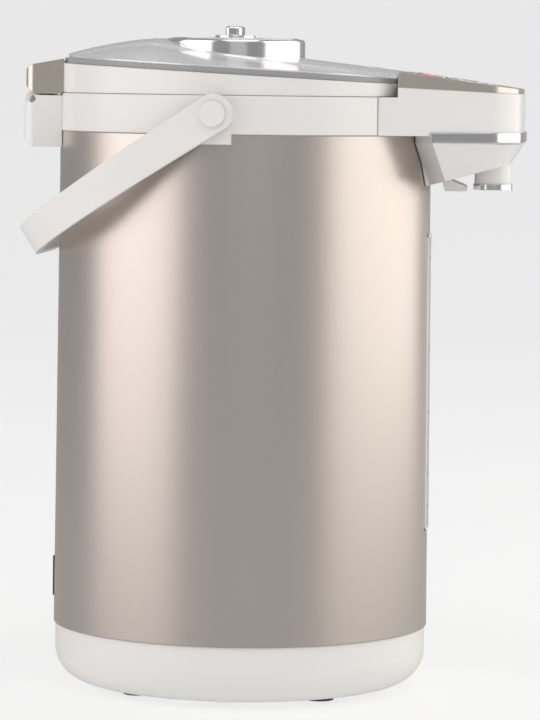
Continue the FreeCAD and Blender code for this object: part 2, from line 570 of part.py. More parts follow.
button_holes = []
for node, (across, deep, radius) in BUTTONS.items():
    button_holes.append(tilted_rod(node + "Hole", radius + " + button_gap", "button_length + 4",
                                   across, deep, "3"))
    keep(node, tilted_rod(node + "Rod", radius, "button_length", across, deep, "button_proud"))
display_slot = block("DisplaySlot", ("display_width", "display_length", "display_wall + 10"),
                     ("-display_width / 2", "display_y - display_length / 2",
                      panel_top("display_y - display_length / 2") + " - display_wall"))
display_slot.Placement.Rotation = Rotation(Vector(1, 0, 0), value(slope))
display_slot.setExpression("Placement.Rotation.Angle", bound(slope))
keep("display_window", place(block(
    "Display", ("display_width - 0.2", "display_length - 0.2", "display_wall"), ("0", "0", "0")),
    ("-display_width / 2 + 0.1", "display_y - display_length / 2 + 0.1",
     panel_top("display_y - display_length / 2") + " - display_wall + fit"),
    Vector(1, 0, 0), tilt=slope))
panel_posts = [rod("PanelPost%d" % index, "post_radius",
                   "panel_front_low - board_level - board_wall + 4",
                   (across, deep, "board_level + board_wall"))
               for index, (across, deep) in enumerate([
                   ("-board_width / 2 + 4", "board_front + 5"),
                   ("board_width / 2 - 4", "board_front + 5"),
                   ("-board_width / 2 + 4", "board_back - 4"),
                   ("board_width / 2 - 4", "board_back - 4")])]
panel_solid = without("PanelSolid", shared("PanelWhole", [panel_side, panel_plan]),
                      [panel_under, lid_core])
keep("control_panel", without("ControlPanel", joined("PanelFull", [panel_solid] + panel_posts),
                              button_holes + [display_slot]))
keep("control_board", block("KeyBoard", ("board_width", "board_back - board_front", "board_wall"),
                            ("-board_width / 2", "board_front", "board_level")))

# Spout nozzle with its bright ring
nozzle_solid = without("NozzleSolid", rod(
    "NozzleOuter", "nozzle_radius", "nozzle_high - nozzle_low", ("0", "nozzle_y", "nozzle_low")), [
        rod("NozzleSeat", "spout_pipe_radius", "30", ("0", "nozzle_y", "nozzle_low + 9")),
        rod("NozzleBore", "ring_bore - 1", "30", ("0", "nozzle_y", "nozzle_low - 1")),
        rod("NozzlePass", "spout_pipe_radius + 0.5", "30",
            ("0", "nozzle_y", "pipe_level"), "Y"),
        without("NozzleStep", rod("StepOuter", "ring_radius + 1", "ring_lap",
                                  ("0", "nozzle_y", "nozzle_low")),
                [rod("StepInner", "nozzle_radius - 1.2", "ring_lap * 2",
                     ("0", "nozzle_y", "nozzle_low - 1"))])])
keep("spout_nozzle", nozzle_solid)
keep("nozzle_ring", without("NozzleRing", rod(
    "RingOuter", "ring_radius", "ring_height", ("0", "nozzle_y", "nozzle_low + ring_lap - ring_height")),
    [rod("RingBore", "ring_bore", "20", ("0", "nozzle_y", "nozzle_low - 10")),
     rod("RingSeat", "nozzle_radius - 1.2", "20", ("0", "nozzle_y", "nozzle_low"))]))

# Lever that a cup's rim pushes
lever_arm = slab("LeverArm", "YZ_Plane", [
    ("lever_pivot_y - 3.5", "lever_pivot_z + lever_head"), ("lever_pivot_y - 3.5", "lever_low + 6"),
    ("lever_front", "lever_low + 3"), ("lever_front", "lever_low"),
    ("lever_pivot_y", "lever_low"), ("lever_pivot_y + 3.5", "lever_pivot_z + lever_head")], "lever_width")
keep("cup_lever", without("CupLever", lever_arm, [
    rod("LeverBore", "lever_pin_radius + fit", "lever_width * 2",
        ("-lever_width", "lever_pivot_y", "lever_pivot_z"), "X")]))
keep("cup_lever_pin", rod("LeverPin", "lever_pin_radius", "lever_pin_length",
                          ("-lever_pin_length / 2", "lever_pivot_y", "lever_pivot_z"), "X"))
# Bail handle, its plates and its pins
bail_far = "bail_inner + bail_wall"
bail = slab("Bail", "XY_Plane", [
    ("-(%s)" % bail_far, "-bail_width / 2"), ("-bail_inner", "-bail_width / 2"),
    ("-bail_inner", "bail_reach - bail_wall"), ("bail_inner", "bail_reach - bail_wall"),
    ("bail_inner", "-bail_width / 2"), (bail_far, "-bail_width / 2"),
    (bail_far, "bail_reach"), ("-(%s)" % bail_far, "bail_reach")], "bail_width")
rounded(bail, "bail_bend", along("Z", YMin="bail_reach - 0.1"))
rounded(bail, "bail_bend - bail_wall", along(
    "Z", YMin="bail_reach - bail_wall - 0.1", YMax="bail_reach - bail_wall + 0.1"))
rounded(bail, "bail_width / 2 - 0.1", along("X", YMax="0"))
bail_bores = [rod("BailBore%d" % side, "pivot_pin_radius + fit", "bail_wall * 4",
                  ("%d * bail_inner - bail_wall * 2" % side, "0", "0"), "X") for side in (-1, 1)]
bail_side = slab("BailSide", "YZ_Plane", [
    ("-bail_width", "-bail_width / 2"), ("bail_reach + 1", "-grip_width / 2"),
    ("bail_reach + 1", "grip_width / 2"), ("-bail_width", "bail_width / 2")],
    "bail_inner * 3")
bail_cut = without("BailHandle", shared("BailTaper", [bail, bail_side]), bail_bores)
place(bail_cut, ("0", "bail_y", "bail_z"), Vector(1, 0, 0), tilt="bail_angle")
keep("bail_handle", bail_cut)
for node, side in (("left", -1), ("right", 1)):
    low = "pivot_root - 8" if side > 0 else "-pivot_face"
    plate_solid = block(node + "PlateSolid", (
        "pivot_face - pivot_root + 8", "pivot_width", "pivot_high - pivot_low"),
        (low, "plate_y - pivot_width / 2", "pivot_low"))
    keep("pivot_plate_" + node, without(node + "PivotPlate", plate_solid, [
        rod(node + "PlateCore", "(body_radius_high + collar_step)", "collar_top * 2", ("0", "0", "0")),
        rod(node + "PlateBore", "pivot_pin_radius", "20",
            ("%d * pivot_face - 10" % side, "bail_y", "bail_z"), "X")]))
    pin_low = "pivot_root" if side > 0 else "-(%s) - pivot_head_wall - 0.2" % bail_far
    head_low = bail_far + " + 0.2" if side > 0 else "-(%s) - pivot_head_wall - 0.2" % bail_far
    keep("pivot_pin_" + node, joined(node + "PivotPin", [
        rod(node + "PinShank", "pivot_pin_radius",
            bail_far + " + 0.2 + pivot_head_wall - pivot_root", (pin_low, "bail_y", "bail_z"), "X"),
        rod(node + "PinHead", "pivot_head", "pivot_head_wall",
            (head_low, "bail_y", "bail_z"), "X")]))

# Rear hinge: block on the collar, cap on the lid, and the pin through both
hinge_block = slab("HingeBlockSolid", "YZ_Plane", [
    ("90", "block_low"), ("hinge_rear - 5", "block_low"), ("hinge_rear", "block_low + 5"),
    ("hinge_rear", "block_top - 3"), ("hinge_rear - 3.6", "block_top"), ("90", "block_top")],
    "hinge_half * 2")
rounded(hinge_block, "block_round", along("Z", YMin="hinge_rear - 0.1"))
cheek_inner = "hinge_half - cheek_wall"
hinge_cheeks = [block("HingeCheek%d" % (side + 1), (
    "cheek_wall", "hinge_y - 90", "hinge_z + hinge_pin_radius - block_low - 5"),
    (start, "90", "block_low + 5"))
    for side, start in ((-1, "-hinge_half"), (1, cheek_inner))]
knuckle = rod("Knuckle", "knuckle_radius", "hinge_half * 2 - 8",
              ("-hinge_half + 4", "hinge_y", "hinge_z"), "X")


def lug_boxes(name, grow):
    """The two places along the pin that the lid's lugs take."""
    return [block(name + "Right", ("lug_outer - lug_inner + 2 * %s" % grow, "40", "40"),
                  ("lug_inner - %s" % grow, "hinge_y - knuckle_radius - 0.6",
                   "hinge_z - knuckle_radius - 0.6")),
            block(name + "Left", ("lug_outer - lug_inner + 2 * %s" % grow, "40", "40"),
                  ("-lug_outer - %s" % grow, "hinge_y - knuckle_radius - 0.6",
                   "hinge_z - knuckle_radius - 0.6"))]


hinge_bore = "hinge_pin_radius + fit"
keep("hinge_block", without("HingeBlock", joined("HingeWhole", [hinge_block, knuckle] + hinge_cheeks), [
    rod("HingeCollarCore", "(body_radius_high + collar_step)", "500", ("0", "0", "0")),
    rod("HingeBore", "hinge_pin_radius", "hinge_half * 4",
        ("-hinge_half * 2", "hinge_y", "hinge_z"), "X")] + lug_boxes("LugRoom", "lug_gap")))
keep("hinge_pin", rod("HingePin", "hinge_pin_radius", "hinge_half * 2 - 8",
                      ("-hinge_half + 4", "hinge_y", "hinge_z"), "X"))
cap_solid = slab("CapSolid", "YZ_Plane", [
    ("90", "cap_low"), ("cap_rear - cap_chamfer", "cap_low"),
    ("cap_rear", "cap_low + cap_chamfer"), ("cap_rear", "cap_top - 3"),
    ("cap_rear - 3", "cap_top"), ("90", "cap_top + cap_slope")], "hinge_half * 2")
rounded(cap_solid, "5", along("Z", YMin="cap_rear - 0.1"))
cap_lugs = joined("CapLugs", [
    part for side in (-1, 1) for part in (
        rod("LugRing%d" % (side + 1), "knuckle_radius", "lug_outer - lug_inner",
            ("%d * (lug_outer + lug_inner) / 2 - (lug_outer - lug_inner) / 2" % side,
             "hinge_y", "hinge_z"), "X"),
        block("LugWeb%d" % (side + 1), (
            "lug_outer - lug_inner", "knuckle_radius * 2 - 1", "knuckle_radius + 3"),
            ("%d * (lug_outer + lug_inner) / 2 - (lug_outer - lug_inner) / 2" % side,
             "hinge_y - knuckle_radius", "hinge_z")))])
cap_body = without("CapBody", cap_solid, [
    rod("CapKnuckleRoom", "knuckle_radius + 0.6", "(%s) * 2" % cheek_inner,
        ("-(%s)" % cheek_inner, "hinge_y", "hinge_z"), "X"),
    rod("CapLidCore", "lid_radius", "ledge_level + ledge_height + ledge_slope * lid_radius",
        ("0", "0", "0")),
    rod("CapCollarCore", "(body_radius_high + collar_step) + lug_gap", "lid_low", ("0", "0", "0")),
    rod("CapCoverCore", "ledge_radius", "500", ("0", "0", "0"))])
keep("hinge_cap", without("HingeCap", joined("CapWhole", [cap_body, cap_lugs]), [
    rod("CapBore", hinge_bore, "hinge_half * 4", ("-hinge_half * 2", "hinge_y", "hinge_z"), "X"),
    rod("CapLidCoreAgain", "lid_radius", "ledge_level", ("0", "0", "0"))]))

# Lid: white ring, grey ledge and pearl cover

def under_slope(name, lift, front="lid_front"):
    """Everything behind the lid's front and below its sloping ledge, raised by a lift."""
    return slab(name, "YZ_Plane", [
        (front, "lid_low - 60"), ("lid_radius + 20", "lid_low - 60"),
        ("lid_radius + 20", "ledge_level + ledge_slope * (lid_radius + 20) + %s" % lift),
        (front, "ledge_level + ledge_slope * (%s) + %s" % (front, lift))], "lid_radius * 3")


lid_outer = rod("LidOuter", "lid_radius", "60", ("0", "0", "lid_low"))
lid_solid = shared("LidSolid", [lid_outer, under_slope("LidUnder", "0")])
lid_cavity = shared("LidCavity", [
    rod("LidInner", "lid_radius - lid_wall", "60", ("0", "0", "lid_low + lid_floor")),
    under_slope("LidInnerUnder", "20", "lid_front + lid_wall")])
latch_posts = joined("LatchPosts", [
    without("LatchPost%d" % side, block(
        "PostPlate%d" % side, ("2.5", "6", "latch_pin_z - lid_low - lid_floor + 1.8"),
        ("%d * (latch_width / 2 + 2) - 1.25" % side, "latch_pin_y - 3", "lid_low + lid_floor")),
        [rod("PostBore%d" % side, "latch_pin_radius", "20",
             ("%d * (latch_width / 2 + 2) - 10" % side, "latch_pin_y", "latch_pin_z"), "X")])
    for side in (-1, 1)])
lid_shell = without("LidShell", lid_solid, [
    lid_cavity,
    rod("AirPass", "valve_radius - 3", "20", ("0", "disc_y", "lid_low - 5"))])
keep("lid_ring", joined("LidRing", [lid_shell, latch_posts]))
ledge_solid = shared("LedgeSolid", [
    rod("LedgeOuter", "ledge_radius", "60", ("0", "0", "lid_low")),
    under_slope("LedgeUnder", "ledge_height", "lid_front + 1.5")])
keep("lid_ledge", without("LidLedge", ledge_solid, [
    under_slope("LedgeBelow", "0", "lid_front - 5"),
    shared("LedgeHollow", [
        rod("LedgeInner", "ledge_radius - ledge_width", "60", ("0", "0", "lid_low")),
        under_slope("LedgeInnerUnder", "20", "lid_front + 1.5 + ledge_width")])]))


def smooth(low, high, place_now):
    """A soft step from 0 to 1 between two places."""
    share = min(1.0, max(0.0, (place_now - low) / (high - low)))
    return share * share * (3 - 2 * share)


def crest(deep):
    """The cover's height along its middle line, from rear to front."""
    radius = sheet.cover_radius
    rear = sheet.disc_y + sheet.disc_radius
    if deep > rear:
        share = (deep - rear) / (radius - rear)
        return sheet.cover_crest - (sheet.cover_crest - sheet.cover_rear) * share ** 1.7
    share = (rear - deep) / (rear - sheet.lid_front)
    return sheet.cover_crest - (sheet.cover_crest - sheet.cover_front) * share ** 0.88


def cover_height(across, deep):
    """The cover's top: a crowned platform down the middle with cheeks falling to the ledge."""
    half = sheet.platform_half
    flat = min(1.0, abs(across) / half)
    edge = crest(deep) - sheet.platform_crown * flat ** 2.2
    edge -= 1.1 * smooth(half - 4, half + 4, abs(across))
    rim = (sheet.ledge_level + sheet.ledge_height + sheet.ledge_slope * deep + sheet.cover_rim)
    reach = math.sqrt(max(sheet.cover_radius ** 2 - deep ** 2, (half + 12) ** 2))
    share = max(0.0, (abs(across) - half) / (reach - half))
    blend = min(share, 1.2) ** 1.7
    return edge * (1 - blend) + min(edge, rim) * blend


def cover_column(lift):
    """A column from below the lid up to the cover's top face, raised by a lift."""
    count = 49
    radius = sheet.lid_radius + 3
    step = 2 * radius / (count - 1)
    grid = [[Vector(-radius + step * i, -radius + step * j,
                    cover_height(-radius + step * i, -radius + step * j) + lift)
             for j in range(count)] for i in range(count)]
    surface = Part.BSplineSurface()
    surface.interpolate(grid)
    return surface.toShape().extrude(Vector(0, 0, -40))


def slope_wedge(lift, front):
    """A solid below the ledge's slope and behind a front."""
    low = sheet.lid_low - 60
    far = sheet.lid_radius + 20
    top = [sheet.ledge_level + sheet.ledge_slope * deep + lift for deep in (far, front)]
    corners = [(front, low), (far, low), (far, top[0]), (front, top[1]), (front, low)]
    face = Part.Face(Part.makePolygon([Vector(-150, deep, up) for deep, up in corners]))
    return face.extrude(Vector(300, 0, 0))


def cover_shape():
    """The pearl cover as a thin shell with its well, vents and latch recess."""
    radius = sheet.cover_radius
    wall = sheet.cover_wall
    front = sheet.lid_front + 1.5
    low = sheet.plug_low
    tall = sheet.cover_crest - low + sheet.lid_floor
    outer = cover_column(0).common(Part.makeCylinder(radius, tall, Vector(0, 0, low)))
    outer = outer.common(Part.makeBox(4 * radius, 4 * radius, tall, Vector(-2 * radius, front, low)))
    outer = outer.cut(slope_wedge(sheet.ledge_height, -2 * radius))
    inner = cover_column(-wall).common(Part.makeCylinder(radius - wall, tall, Vector(0, 0, low)))
    inner = inner.common(
        Part.makeBox(4 * radius, 4 * radius, tall, Vector(-2 * radius, front + wall, low)))
    shell = outer.cut(inner)
    well = Part.makeCylinder(sheet.disc_radius + sheet.disc_gap, tall, Vector(0, sheet.disc_y, low))
    latch = Part.makeBox(
        sheet.latch_width + 2 * sheet.latch_gap, sheet.latch_back - sheet.lid_front + radius, tall,
        Vector(-sheet.latch_width / 2 - sheet.latch_gap,
               sheet.lid_front - radius + sheet.latch_sweep, low))
    vents = [Part.makeCylinder(sheet.vent_radius, tall,
                               Vector(side * sheet.vent_x,
                                      sheet.vent_start_y - sheet.vent_pitch * turn, low))
             for turn in range(int(sheet.vent_count)) for side in (-1, 1)]
    return shell.cut([well, latch] + vents)


cover = doc.addObject("Part::Feature", "LidCover")
cover.Shape = cover_shape()
cover.Placement = Placement()
keep("lid_cover", cover)

# Plug that closes the mouth, and its gasket
plug = turned("Plug", [
    ("0", "plug_low + 4"), ("plug_radius - 12", "plug_low + 4"), ("plug_radius - 8", "plug_low"),
    ("plug_radius", "plug_low"), ("plug_radius", "lid_low"),
    ("plug_radius - plug_wall", "lid_low"), ("plug_radius - plug_wall", "plug_low + 6.5"),
    ("0", "plug_low + 6.5")])
valve_low = "plug_low + 6.5"
keep("inner_lid", without("InnerLid", plug, [
    rod("PlugPass", "3", "20", ("0", "disc_y", "plug_low - 5"))]))
keep("lid_gasket", turned("Gasket", [
    ("gasket_inner", "pot_top"), ("gasket_outer", "pot_top"), ("gasket_outer", "plug_low"),
    ("gasket_inner", "plug_low")]))
keep("air_valve", without("AirValve", rod(
    "ValveBody", "valve_radius", "lid_low - plug_low - 6.5", ("0", "disc_y", valve_low)), [
        rod("ValveBore", "2.5", "60", ("0", "disc_y", "plug_low"))]))

# Press disc with its bellows, spring and lock knob
disc_low = "disc_top - disc_height"
disc = turned("Disc", [
    ("0", disc_low + " + 3"), ("disc_radius - 5", disc_low + " + 3"),
    ("disc_radius - 5", disc_low), ("disc_radius", disc_low), ("disc_radius", "disc_top"),
    ("0", "disc_top")])
rounded(disc, "disc_edge", level_ring("disc_radius", "disc_top"))
place(disc, ("0", "disc_y", "0"))
keep("press_disc", without("PressDisc", disc, [
    rod("KnobSeat", "knob_stem + fit", "disc_height", ("0", "disc_y", "disc_top - 4"))]))
bellows_top = disc_low + " + 3"
bellows_low = "lid_low + lid_floor"
folds = 5
bellows_points = []
for fold in range(folds + 1):
    height = "%s + (%s - (%s)) * %.6f" % (bellows_low, bellows_top, bellows_low, fold / folds)
    bellows_points.append(("bellows_radius", height))
    if fold < folds:
        middle = "%s + (%s - (%s)) * %.6f" % (
            bellows_low, bellows_top, bellows_low, (fold + 0.5) / folds)
        bellows_points.append(("bellows_radius - 3", middle))
inner_points = [("%s - bellows_wall" % across, up) for across, up in reversed(bellows_points)]
bellows = turned("Bellows", bellows_points + inner_points)
place(bellows, ("0", "disc_y", "0"))
keep("air_bellows", bellows)


def coil(radius, wire, turns, low, high):
    """A closed coil of round wire between two heights."""
    pitch = (high - low - wire) / turns
    helix = Part.makeHelix(pitch, pitch * turns, radius - wire / 2)
    section = Part.Wire(Part.makeCircle(wire / 2, Vector(radius - wire / 2, 0, 0), Vector(0, 1, 0)))
    return Part.Wire(helix).makePipeShell([section], True, True)


spring = doc.addObject("Part::Feature", "BellowsSpring")
spring.Shape = coil(sheet.spring_radius, sheet.spring_wire, sheet.spring_turns,
                    value(bellows_low) + 0.05, value(bellows_top) - 0.05)
spring.Placement = Placement(
    Vector(0, sheet.disc_y, value(bellows_low) + 0.05 + sheet.spring_wire / 2), Rotation())
keep("bellows_spring", spring)
knob_bar = slab("KnobBar", "XY_Plane", [
    ("-knob_radius + 1", "-knob_width / 2"), ("knob_radius - 1", "-knob_width / 2"),
    ("knob_radius - 1", "knob_width / 2"), ("-knob_radius + 1", "knob_width / 2")],
    "knob_rise", middle=False)
rounded(knob_bar, "2.5", along("Z"))
rounded(knob_bar, "1.5", lambda edge: near(edge.BoundBox.ZMin, value("knob_rise")))
place(knob_bar, ("0", "disc_y", "disc_top"))
keep("lock_knob", joined("LockKnob", [
    knob_bar, rod("KnobBase", "knob_radius", "knob_base", ("0", "disc_y", "disc_top")),
    rod("KnobStem", "knob_stem", "3.5", ("0", "disc_y", "disc_top - 3.5"))]))

# Latch that holds the lid down at the front
latch_arm = slab("LatchArm", "YZ_Plane", [
    ("latch_back", "latch_top + 0.6"), ("latch_back", "latch_top - latch_wall"),
    ("latch_pin_y + 2.5", "latch_pin_z - 2.5"), ("latch_pin_y - 2.5", "latch_pin_z - 2.5"),
    ("latch_pin_y - 4", "latch_top - latch_wall - 1"), ("lid_front + 2.6", "latch_top - latch_wall - 1.6"),
    ("lid_front + 2.6", "latch_top - 1.7")], "latch_width")
keep("lid_latch", without("LidLatch", latch_arm, [
    rod("LatchBore", "latch_pin_radius + fit", "latch_width * 2",
        ("-latch_width", "latch_pin_y", "latch_pin_z"), "X")]))
keep("latch_pin", rod("LatchPin", "latch_pin_radius", "latch_pin_length",
                      ("-latch_pin_length / 2", "latch_pin_y", "latch_pin_z"), "X"))
doc.recompute()
broken = [thing.Label for thing in doc.Objects
          if "Invalid" in thing.State or "Error" in thing.State]
if broken:
    raise ValueError("objects that failed: %s" % broken)
os.makedirs("parts", exist_ok=True)
for node, thing in NODES.items():
    shape = thing.Shape
    if shape.isNull() or not shape.isValid() or not shape.Solids:
        raise ValueError("a bad shape in " + node)
    shape.exportStep("parts/%s.step" % node)
    box = shape.BoundBox
    print("%-20s %d solids %9.0f mm3  x %.1f %.1f  y %.1f %.1f  z %.1f %.1f" % (
        node, len(shape.Solids), shape.Volume, box.XMin, box.XMax, box.YMin, box.YMax,
        box.ZMin, box.ZMax))
print(len(NODES), "sub-parts")
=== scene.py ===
# %% [markdown]
# # An electric thermo pot
# The solids of the pot already exist: a round metal body, a collar with a hooded spout, a lid with an
# air pump disc, and a bail handle. Here they get their finishes, their small trim and a studio.
# The first step loads the solids and moves each one's placement into its own mesh.

# %% Load the solids
import math

import bmesh
import bpy
from mathutils import Matrix, Vector


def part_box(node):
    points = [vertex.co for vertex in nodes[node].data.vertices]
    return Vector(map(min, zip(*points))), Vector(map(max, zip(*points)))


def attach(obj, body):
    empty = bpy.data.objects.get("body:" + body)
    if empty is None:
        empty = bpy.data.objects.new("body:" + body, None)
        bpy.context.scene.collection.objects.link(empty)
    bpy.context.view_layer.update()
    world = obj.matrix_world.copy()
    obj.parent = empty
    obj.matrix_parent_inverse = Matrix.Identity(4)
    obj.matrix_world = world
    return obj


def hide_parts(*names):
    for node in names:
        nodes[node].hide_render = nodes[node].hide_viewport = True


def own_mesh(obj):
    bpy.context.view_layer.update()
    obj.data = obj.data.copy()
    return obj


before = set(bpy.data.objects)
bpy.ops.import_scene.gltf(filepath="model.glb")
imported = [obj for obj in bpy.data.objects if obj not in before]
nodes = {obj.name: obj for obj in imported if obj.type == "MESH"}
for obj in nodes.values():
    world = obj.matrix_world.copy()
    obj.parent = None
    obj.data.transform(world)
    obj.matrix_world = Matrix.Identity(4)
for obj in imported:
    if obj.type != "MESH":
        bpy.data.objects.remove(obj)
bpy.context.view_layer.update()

# %% [markdown]
# ## The camera
# The photograph looks at the pot's side from about two metres, slightly from the front and from the
# height of the lid, so the body's sides are almost parallel. A long lens and a small downward tilt give
# that picture. The camera is built from its own three directions, so each angle can be set by itself.
# Angles are in radians and lengths in metres.

# %% Place the camera
PHOTO_HEIGHT, PIXELS_PER_METRE, AXIS_SHIFT_PIXELS = 720, 1810, 31.4
EYE_DISTANCE, EYE_HEIGHT, EYE_SHIFT = 2.05, 0.338, 0.0025
SIDE_ANGLE, TILT_DOWN, ROLL = 0.1205, 0.0769, 0.0129
SENSOR_WIDTH, FAR_CLIP = 36, 50
pixels_per_radian = PIXELS_PER_METRE * EYE_DISTANCE
eye = Vector((-EYE_DISTANCE * math.cos(SIDE_ANGLE), EYE_SHIFT - EYE_DISTANCE * math.sin(SIDE_ANGLE),
              EYE_HEIGHT))
heading = SIDE_ANGLE - AXIS_SHIFT_PIXELS / pixels_per_radian
ahead = Vector((math.cos(heading) * math.cos(TILT_DOWN), math.sin(heading) * math.cos(TILT_DOWN),
                -math.sin(TILT_DOWN)))
level_right = ahead.cross(Vector((0, 0, 1))).normalized()
level_up = level_right.cross(ahead)
right = level_right * math.cos(ROLL) + level_up * math.sin(ROLL)
up = level_up * math.cos(ROLL) - level_right * math.sin(ROLL)
camera_data = bpy.data.cameras.new("photo_camera")
camera_data.sensor_width = SENSOR_WIDTH
camera_data.lens = SENSOR_WIDTH * pixels_per_radian / PHOTO_HEIGHT
camera_data.clip_end = FAR_CLIP
camera = bpy.data.objects.new("photo_camera", camera_data)
bpy.context.collection.objects.link(camera)
camera.matrix_world = Matrix.Translation(eye) @ Matrix((right, up, -ahead)).transposed().to_4x4()
bpy.context.scene.camera = camera
print("lens", round(camera_data.lens, 1), "mm")

# %% [markdown]
# ## The paper
# A sheet of pale paper lies under the pot and curves up behind it, so the picture has no horizon. Its
# section is one line, drawn from near to far, and the sheet joins two copies of that line.

# %% Curve a sheet of paper up behind the pot
PAPER_HALF_WIDTH, PAPER_NEAR, PAPER_BEND, PAPER_FAR, PAPER_TOP = 6.0, -5.0, 2.5, 4.0, 4.0
BEND_STEPS = 16


def link(thing):
    """Puts an object in the scene and gives it back."""
    bpy.context.collection.objects.link(thing)
    return thing


paper_line = [(PAPER_NEAR, 0.0)]
for step in range(BEND_STEPS + 1):
    turn = math.pi / 2 * step / BEND_STEPS
    paper_line.append((PAPER_BEND + (PAPER_FAR - PAPER_BEND) * math.sin(turn),
                       (PAPER_FAR - PAPER_BEND) * (1 - math.cos(turn))))
paper_line.append((PAPER_FAR, PAPER_TOP))
paper_mesh = bpy.data.meshes.new("paper_floor")
paper_mesh.from_pydata(
    [(across, side * PAPER_HALF_WIDTH, height) for across, height in paper_line for side in (-1, 1)], [],
    [(2 * step, 2 * step + 1, 2 * step + 3, 2 * step + 2) for step in range(len(paper_line) - 1)])
paper_mesh.update()
for polygon in paper_mesh.polygons:
    polygon.use_smooth = True
paper = link(bpy.data.objects.new("paper_floor", paper_mesh))
print("paper strips:", len(paper_mesh.polygons))

# %% [markdown]
# ## The light
# Satin metal shows only what stands round it. The photograph has a bright upright band near each side of
# the body and a darker band between them, so two tall soft panels stand to the left and to the right, and
# the space behind the camera stays dim. A panel above lights the lid, a weak one fills the front, and one
# behind the pot lights the paper.

# %% Hang the soft panels
POT_MIDDLE, PAPER_MIDDLE = 0.17, 1.2
# Each panel: degrees from the camera's side toward the spout, distance, height, width, how tall it is,
# watts, tint, and the height that it faces.
PANELS = {
    "left_panel": (-62, 1.5, 0.5, 1.7, 1.8, 15, (1.0, 0.955, 0.94), POT_MIDDLE),
    "right_panel": (98, 1.5, 0.5, 2.6, 1.8, 21, (1.0, 0.97, 0.92), POT_MIDDLE),
    "top_panel": (20, 1.6, 2.4, 2.2, 2.2, 24, (1.0, 1.0, 1.0), POT_MIDDLE),
    "front_fill": (12, 3.2, 0.9, 1.6, 1.2, 2, (1.0, 0.98, 0.96), 0.2),
    "paper_light": (170, 1.4, 2.6, 2.0, 2.0, 7, (1.0, 1.0, 1.0), PAPER_MIDDLE),
}
for name, (degrees, distance, height, width, tall, watts, tint, faces_height) in PANELS.items():
    data = bpy.data.lights.new(name, "AREA")
    data.shape, data.size, data.size_y = "RECTANGLE", width, tall
    data.energy, data.color = watts, tint
    panel = link(bpy.data.objects.new(name, data))
    turn = math.radians(degrees)
    panel.location = (-math.cos(turn) * distance, -math.sin(turn) * distance, height)
    sight_line = Vector((0, 0, faces_height)) - panel.location
    panel.rotation_euler = sight_line.to_track_quat("-Z", "Y").to_euler()
print("panels:", list(PANELS))

# %% [markdown]
# ## The room
# A grey world stands for the rest of the room, so no reflection turns black. The standard view transform
# keeps the colours as they were mixed.

# %% Dim surroundings
ROOM_COLOUR, ROOM_STRENGTH = (0.93, 0.93, 0.94, 1), 0.30
world = bpy.data.worlds.new("dim_room")
bpy.context.scene.world = world
world.use_nodes = True
room = world.node_tree.nodes["Background"]
room.inputs["Color"].default_value = ROOM_COLOUR
room.inputs["Strength"].default_value = ROOM_STRENGTH
bpy.context.scene.view_settings.view_transform = "Standard"
print("room strength", ROOM_STRENGTH)

# %% [markdown]
# ## Effects that several finishes share
# Real plastic and metal are never one even colour. Moulded parts drift a little in tone, carry a fine
# grain, rub smooth along their edges, and gather a trace of dust on top. Each effect is a node group, so
# it is built once here and every material sets its own amounts.
# The first one is the drift: large soft noise that moves between a light tone and a shade of it.

# %% Tone drift
FLOAT, COLOUR = "NodeSocketFloat", "NodeSocketColor"
NOISE_ROUGHNESS = 0.55


def open_group(name, inputs, outputs):
    """A shader group with its sockets, and the two ends to wire between."""
    tree = bpy.data.node_groups.new(name, "ShaderNodeTree")
    for label, kind, start in inputs:
        tree.interface.new_socket(label, in_out="INPUT", socket_type=kind).default_value = start
    for label, kind in outputs:
        tree.interface.new_socket(label, in_out="OUTPUT", socket_type=kind)
    return tree, tree.nodes.new("NodeGroupInput"), tree.nodes.new("NodeGroupOutput")


def node(tree, kind, **settings):
    """A node with its properties and its named inputs set."""
    made = tree.nodes.new("ShaderNode" + kind)
    for key, setting in settings.items():
        if hasattr(made, key):
            setattr(made, key, setting)
        else:
            made.inputs[key.replace("_", " ")].default_value = setting
    return made


def noise_at(tree, scale_from, detail, stretch=None):
    """Noise in the object's own metres, so the pattern moves with the piece."""
    source = node(tree, "TexCoord").outputs["Object"]
    if stretch:
        scaled = node(tree, "Mapping")
        scaled.inputs["Scale"].default_value = stretch
        tree.links.new(source, scaled.inputs["Vector"])
        source = scaled.outputs["Vector"]
    noise = node(tree, "TexNoise", Detail=detail, Roughness=NOISE_ROUGHNESS)
    tree.links.new(source, noise.inputs["Vector"])
    tree.links.new(scale_from, noise.inputs["Scale"])
    return noise.outputs["Fac"]


def remap(tree, source, **limits):
    """Carries a socket's numbers from one range to another."""
    carried = node(tree, "MapRange", **limits)
    tree.links.new(source, carried.inputs["Value"])
    return carried.outputs["Result"]


def colour_sockets(sockets):
    """The colour sockets of a Mix node, which also has sockets for numbers and vectors."""
    return [socket for socket in sockets if socket.type == "RGBA"]


drift, start, end = open_group("tone drift", [
    ("Light", COLOUR, (0.8, 0.8, 0.8, 1)), ("Shade", COLOUR, (0.7, 0.7, 0.7, 1)),
    ("Scale", FLOAT, 9.0)], [("Colour", COLOUR)])
cloud = noise_at(drift, start.outputs["Scale"], 4.0)
between = node(drift, "Mix", data_type="RGBA")
drift.links.new(remap(drift, cloud, From_Min=0.3, From_Max=0.7), between.inputs["Factor"])
light_socket, shade_socket = colour_sockets(between.inputs)
drift.links.new(start.outputs["Light"], light_socket)
drift.links.new(start.outputs["Shade"], shade_socket)
drift.links.new(colour_sockets(between.outputs)[0], end.inputs["Colour"])
print("tone drift:", len(drift.nodes), "nodes")

# %% [markdown]
# ## Moulded grain
# A mould is never polished like a mirror, and the plastic keeps its fine grain. Fine noise gives its
# height.

